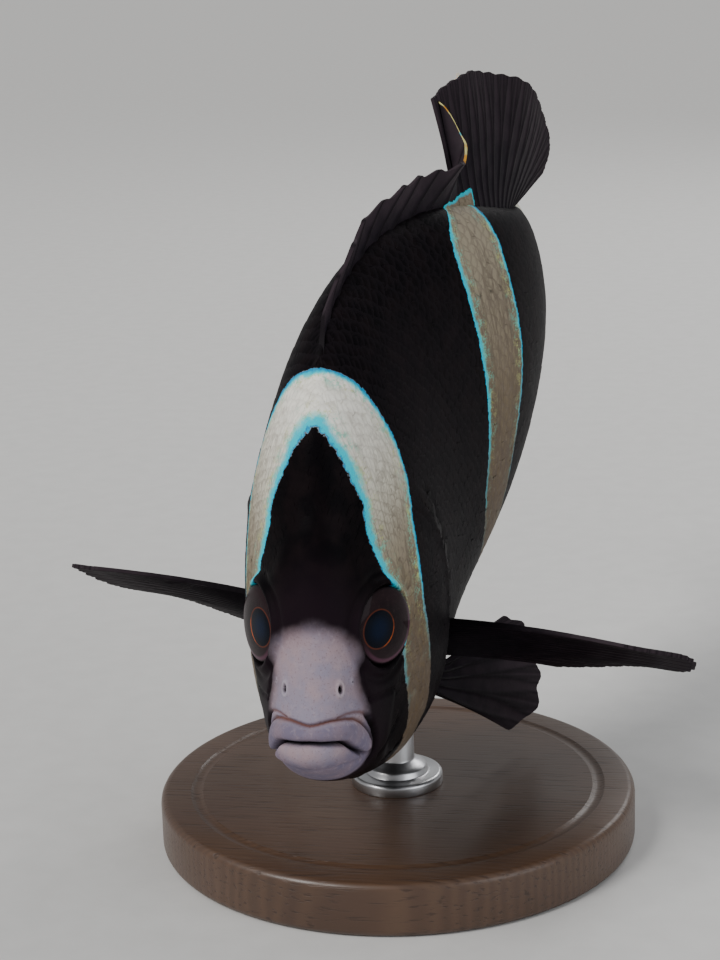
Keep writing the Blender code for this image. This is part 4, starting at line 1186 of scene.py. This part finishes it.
def eye_finish():
    f = Finish("eye_wet", IOR=1.34, Specular_IOR_Level=0.05, Coat_Weight=0.20, Coat_Roughness=0.03,
               Coat_IOR=1.34)
    ahead, upward, out = f.stored("ahead"), f.stored("upward"), f.stored("out")
    reach = length_of(ahead, upward)
    pupil_reach = length_of((ahead - 0.30) / 0.50, (upward - 0.13) / 0.47)
    where = f.place()
    fibres = f.noise(2600, 3.0, where)
    cloud = f.noise(900, 2.0, where)
    iris = f.mix(f.step(reach + (cloud - 0.5) * 0.3, 0.35, 0.80), (0.0085, 0.0044, 0.0058),
                 (0.0185, 0.0100, 0.0120))
    iris = f.mix(f.step(fibres, 0.54, 0.74) * 0.30, iris, (0.036, 0.022, 0.023))
    outer = f.step(reach, 0.80, 0.87) * f.step(reach, 0.96, 0.90)
    iris = f.mix(outer * f.step(upward, 0.2, -0.5) * 0.75, iris, (0.105, 0.040, 0.068))
    iris = f.mix(f.step(reach, 0.90, 1.0), iris, (0.003, 0.002, 0.003))
    ring = f.step(pupil_reach, 0.97, 1.0) * f.step(pupil_reach, 1.10, 1.04)
    lower_rear = f.step(ahead * -0.7 - upward + (cloud - 0.5) * 0.5, 0.05, 0.35)
    iris = f.mix(ring * (0.12 + lower_rear * 0.80), iris, (0.62, 0.12, 0.02))
    # The pupil is blue-black; its bluer middle is a painted reflection, the sheen of the lens.
    pupil = f.mix(f.step(pupil_reach, 0.20, 0.95), (0.0012, 0.0060, 0.0210), (0.0008, 0.0020, 0.0060))
    colour = f.mix(f.step(pupil_reach, 1.02, 0.98), iris, pupil)
    colour = f.mix(f.step(out, 0.0, -0.15), colour, (0.003, 0.002, 0.003))
    return f.wear(colour, 0.22 + f.step(reach, 0.5, 0.8) * 0.14, (fibres, 0.000005))


EYE_FINISH = eye_finish()
print("finish:", EYE_FINISH.name)

# %% Two eyes
EYE_FORWARD = 10.0  # degrees that the eyes are turned forward in their sockets
EYE_SUNK, EYE_FRONT, EYE_BACK = 0.0045, 0.0085, 0.0300  # its depth, and its reach out and in
ASIDE = 0.03  # how far off the eye's middle the skin's slope is felt


def beside_eye(side, rearward, upward):
    """The skin's place this far behind and above the eye's middle."""
    along, above = EYE[0] + rearward, EYE[2] + upward
    return place(along, side * side_width(along, above), above)


def make_eye(side, word):
    centre, behind, over = beside_eye(side, 0, 0), beside_eye(side, ASIDE, 0), beside_eye(side, 0, ASIDE)
    looks = unit(np.cross(behind - centre, over - centre))
    looks = looks if looks[0] * side > 0 else -looks
    rearward = square_to(behind - centre, looks)
    upward = square_to(over - centre, looks, rearward)
    looks = unit(looks - rearward * math.tan(math.radians(EYE_FORWARD)) + upward * 0.05)
    rearward = square_to(rearward, looks)
    upward = square_to(upward, looks, rearward)
    centre = centre - looks * EYE_SUNK * BODY_LENGTH
    bpy.ops.mesh.primitive_uv_sphere_add(segments=96, ring_count=64, radius=1.0)
    ball = points_of(bpy.context.object.data)
    depth = np.where(ball[:, 2] > 0, EYE_FRONT, EYE_BACK)
    local = np.stack([-ball[:, 0] * EYE_RADIUS, ball[:, 1] * EYE_RADIUS, ball[:, 2] * depth], -1)
    local = local * BODY_LENGTH
    eye = add_piece(f"eyeball_{word}", [f"eye_{word}"], EYE_FINISH)
    move_points(eye, centre + local[:, :1] * rearward + local[:, 1:2] * upward + local[:, 2:] * looks)
    for key, values in (("ahead", ball[:, 0]), ("upward", ball[:, 1]), ("out", ball[:, 2])):
        store(eye.data, key, values)
    recalculate_outside(eye)
    bpy.ops.object.shade_smooth()
    print(eye.name, "looks towards", [round(float(v), 2) for v in looks])


for side, word in SIDES:
    make_eye(side, word)

# %% [markdown]
# ## The stand
# A museum stand is turned from a dark hardwood, waxed to a low gloss, with a steel rod screwed into it. The
# base is a cylinder, inset and bevelled as on a lathe. The rod is a profile spun about the upright axis.

# %% Wood and steel
def wood_finish():
    f = Finish("stand_walnut", Specular_IOR_Level=0.45, Coat_Weight=0.25, Coat_Roughness=0.22)
    where = f.node("Mapping", Vector=f.place(), Scale=(1.0, 7.0, 1.0), Rotation=(0.0, 0.10, 0.35))
    rings = f.node("TexWave", {"wave_type": "BANDS", "bands_direction": "Y", "wave_profile": "SIN"},
                   output="Fac", Scale=62.0, Distortion=5.0, Detail=3.0, Detail_Scale=1.4, Vector=where)
    grain = f.node("Mapping", Vector=f.place(), Scale=(0.22, 3.2, 3.2), Rotation=(0.0, 0.0, 0.35))
    pores = f.noise(900, 4.0, grain)
    cloud = f.noise(42, 3.0)
    colour = f.ramp(rings * 0.20 + cloud * 0.80, [(0.1, (0.045, 0.023, 0.014)), (0.5, (0.078, 0.041, 0.024)),
                                                (0.9, (0.118, 0.066, 0.038))])
    colour = f.mix(f.step(pores, 0.56, 0.70) * 0.7, colour, (0.030, 0.013, 0.007))
    return f.wear(colour, 0.36 + pores * 0.16, (f.step(pores, 0.70, 0.52), 0.00003))


def steel_finish():
    f = Finish("stand_brushed_steel", Metallic=1.0)
    stretched = f.node("Mapping", Vector=f.place(), Scale=(1.0, 1.0, 26.0))
    lines = f.noise(900, 3.0, stretched)
    cloud = f.noise(220, 2.0)
    colour = f.mix(f.step(cloud, 0.35, 0.7), (0.60, 0.60, 0.61), (0.50, 0.50, 0.52))
    return f.wear(colour, 0.24 + lines * 0.16, (lines, 0.000006))


WOOD_FINISH, STEEL_FINISH = wood_finish(), steel_finish()
print("finishes:", WOOD_FINISH.name, "and", STEEL_FINISH.name)

# %% The base
base_low, base_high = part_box("stand_base")
base_radius, base_top = (base_high.x - base_low.x) / 2, base_high.z
GROOVE_IN, GROOVE_WALL, GROOVE_DEPTH = 0.0034, 0.0007, 0.0005  # a turned line near the rim, in metres
INNER_RING = 0.0100  # an even ring inside it, which keeps the shading of the flat top smooth
bpy.ops.object.select_all(action="DESELECT")
bpy.ops.mesh.primitive_cylinder_add(vertices=160, radius=base_radius, depth=base_top,
                                    location=(0, 0, base_top / 2))
bpy.ops.object.transform_apply(location=True)
base = add_piece("stand_base_turned", ["stand_base"], WOOD_FINISH)
bpy.ops.object.mode_set(mode="EDIT")
shape = bmesh.from_edit_mesh(base.data)
for face in shape.faces:
    face.select_set(face.normal.z > 0.9)
bmesh.update_edit_mesh(base.data)
bpy.ops.mesh.inset(thickness=GROOVE_IN)
for way in (-1, 1):
    bpy.ops.mesh.inset(thickness=GROOVE_WALL)
    bpy.ops.transform.translate(value=(0, 0, way * GROOVE_DEPTH))
bpy.ops.mesh.inset(thickness=INNER_RING)
bpy.ops.object.mode_set(mode="OBJECT")
for width, segments, limit in ((0.0013, 5, 60), (0.00018, 2, 20)):
    bevel = base.modifiers.new("ease", "BEVEL")
    bevel.width, bevel.segments = width, segments
    bevel.limit_method, bevel.angle_limit = "ANGLE", math.radians(limit)
    bpy.ops.object.modifier_apply(modifier=bevel.name)
bpy.ops.object.shade_smooth_by_angle(angle=math.radians(35))
print("base:", len(base.data.polygons), "faces, top at", round(base_top * 1000, 2), "mm")

# %% The rod
ROD_RADIUS, FLANGE_RADIUS, FLANGE, CHAMFER = 0.0020, 0.0052, 0.0014, 0.0003
rod_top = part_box("stand_rod")[1].z + 0.0012  # a little further into the body
shoulder = base_top + FLANGE
profile = [(0.0, base_top), (FLANGE_RADIUS, base_top), (FLANGE_RADIUS, shoulder - CHAMFER),
           (FLANGE_RADIUS - CHAMFER, shoulder), (0.0036, shoulder), (0.0034, shoulder + 0.0007),
           (0.0028, shoulder + 0.0011), (ROD_RADIUS, shoulder + 0.0015), (ROD_RADIUS, rod_top),
           (0.0, rod_top)]
mesh = bpy.data.meshes.new("rod")
mesh.from_pydata([(r, 0, z) for r, z in profile], [(i, i + 1) for i in range(len(profile) - 1)], [])
rod = bpy.data.objects.new("rod", mesh)
bpy.context.scene.collection.objects.link(rod)
pick(rod)
bpy.ops.object.mode_set(mode="EDIT")
bpy.ops.mesh.select_all(action="SELECT")
bpy.ops.mesh.spin(steps=72, angle=2 * math.pi, center=(0, 0, 0), axis=(0, 0, 1))
bpy.ops.mesh.select_all(action="SELECT")
bpy.ops.mesh.remove_doubles(threshold=0.00001)
bpy.ops.mesh.normals_make_consistent(inside=False)
bpy.ops.object.mode_set(mode="OBJECT")
rod = add_piece("stand_rod_turned", ["stand_rod"], STEEL_FINISH)
bevel = rod.modifiers.new("ease", "BEVEL")
bevel.width, bevel.segments, bevel.limit_method = 0.00012, 2, "ANGLE"
bpy.ops.object.modifier_apply(modifier=bevel.name)
bpy.ops.object.shade_smooth_by_angle(angle=math.radians(35))
print("rod:", len(rod.data.polygons), "faces")

# %% [markdown]
# ## Floor, light and camera
# A dark, smooth animal needs large, soft lights, so that its form shows in broad sheens and not in hot spots.
# The key light stands high on the left, as in open water with the sun behind the viewer's shoulder.

# %% The studio
bpy.ops.object.select_all(action="DESELECT")
bpy.ops.mesh.primitive_plane_add(size=16.0)
floor = bpy.context.object
floor.name = "floor"
f = Finish("floor_pale")
tooth = f.noise(260, 3.0)
grey = f.mix(f.step(tooth, 0.2, 0.8), (0.60, 0.595, 0.585), (0.635, 0.63, 0.62))
floor.data.materials.append(f.wear(grey, 0.72, (tooth, 0.00004)))


def soft_light(name, place_at, aim, size, energy, colour):
    data = bpy.data.lights.new(name, "AREA")
    data.size, data.energy, data.color = size, energy, colour
    lamp = bpy.data.objects.new(name, data)
    lamp.location = place_at
    lamp.rotation_euler = (Vector(aim) - Vector(place_at)).to_track_quat("-Z", "Y").to_euler()
    bpy.context.scene.collection.objects.link(lamp)


sun = bpy.data.lights.new("key", "SUN")
sun.energy, sun.angle, sun.color = 2.4, math.radians(26), (1.0, 0.985, 0.96)
key = bpy.data.objects.new("key", sun)
key.rotation_euler = Vector((0.52, 0.50, -0.70)).to_track_quat("-Z", "Y").to_euler()
bpy.context.scene.collection.objects.link(key)
soft_light("fill", (0.50, -0.30, 0.26), (0, 0, 0.05), 0.40, 1.1, (0.93, 0.96, 1.0))
soft_light("rim", (0.22, 0.50, 0.42), (0, 0, 0.06), 0.30, 1.1, (1.0, 1.0, 1.0))
world = bpy.data.worlds.new("studio")
bpy.context.scene.world = world
world.use_nodes = True
background = world.node_tree.nodes["Background"].inputs
background["Color"].default_value = (0.88, 0.89, 0.90, 1.0)
background["Strength"].default_value = 0.42
print("lights:", len(bpy.data.lights))

# %% The camera
CAMERA_AT = (0.0293, -0.2207, 0.1014)
CAMERA_RIGHT = Vector((0.9900, 0.1375, -0.0307))
CAMERA_BACK = Vector((0.1408, -0.9556, 0.2589)).normalized()
camera_data = bpy.data.cameras.new("camera")
camera_data.lens, camera_data.sensor_width, camera_data.clip_start = 78.5, 36.0, 0.01
camera = bpy.data.objects.new("camera", camera_data)
bpy.context.scene.collection.objects.link(camera)
camera_right = (CAMERA_RIGHT - CAMERA_BACK * CAMERA_RIGHT.dot(CAMERA_BACK)).normalized()
camera_up = CAMERA_BACK.cross(camera_right)
camera_turn = Matrix((camera_right, camera_up, CAMERA_BACK)).transposed().to_4x4()
camera.matrix_world = Matrix.Translation(CAMERA_AT) @ camera_turn
bpy.context.scene.camera = camera
print("camera:", camera_data.lens, "mm lens")
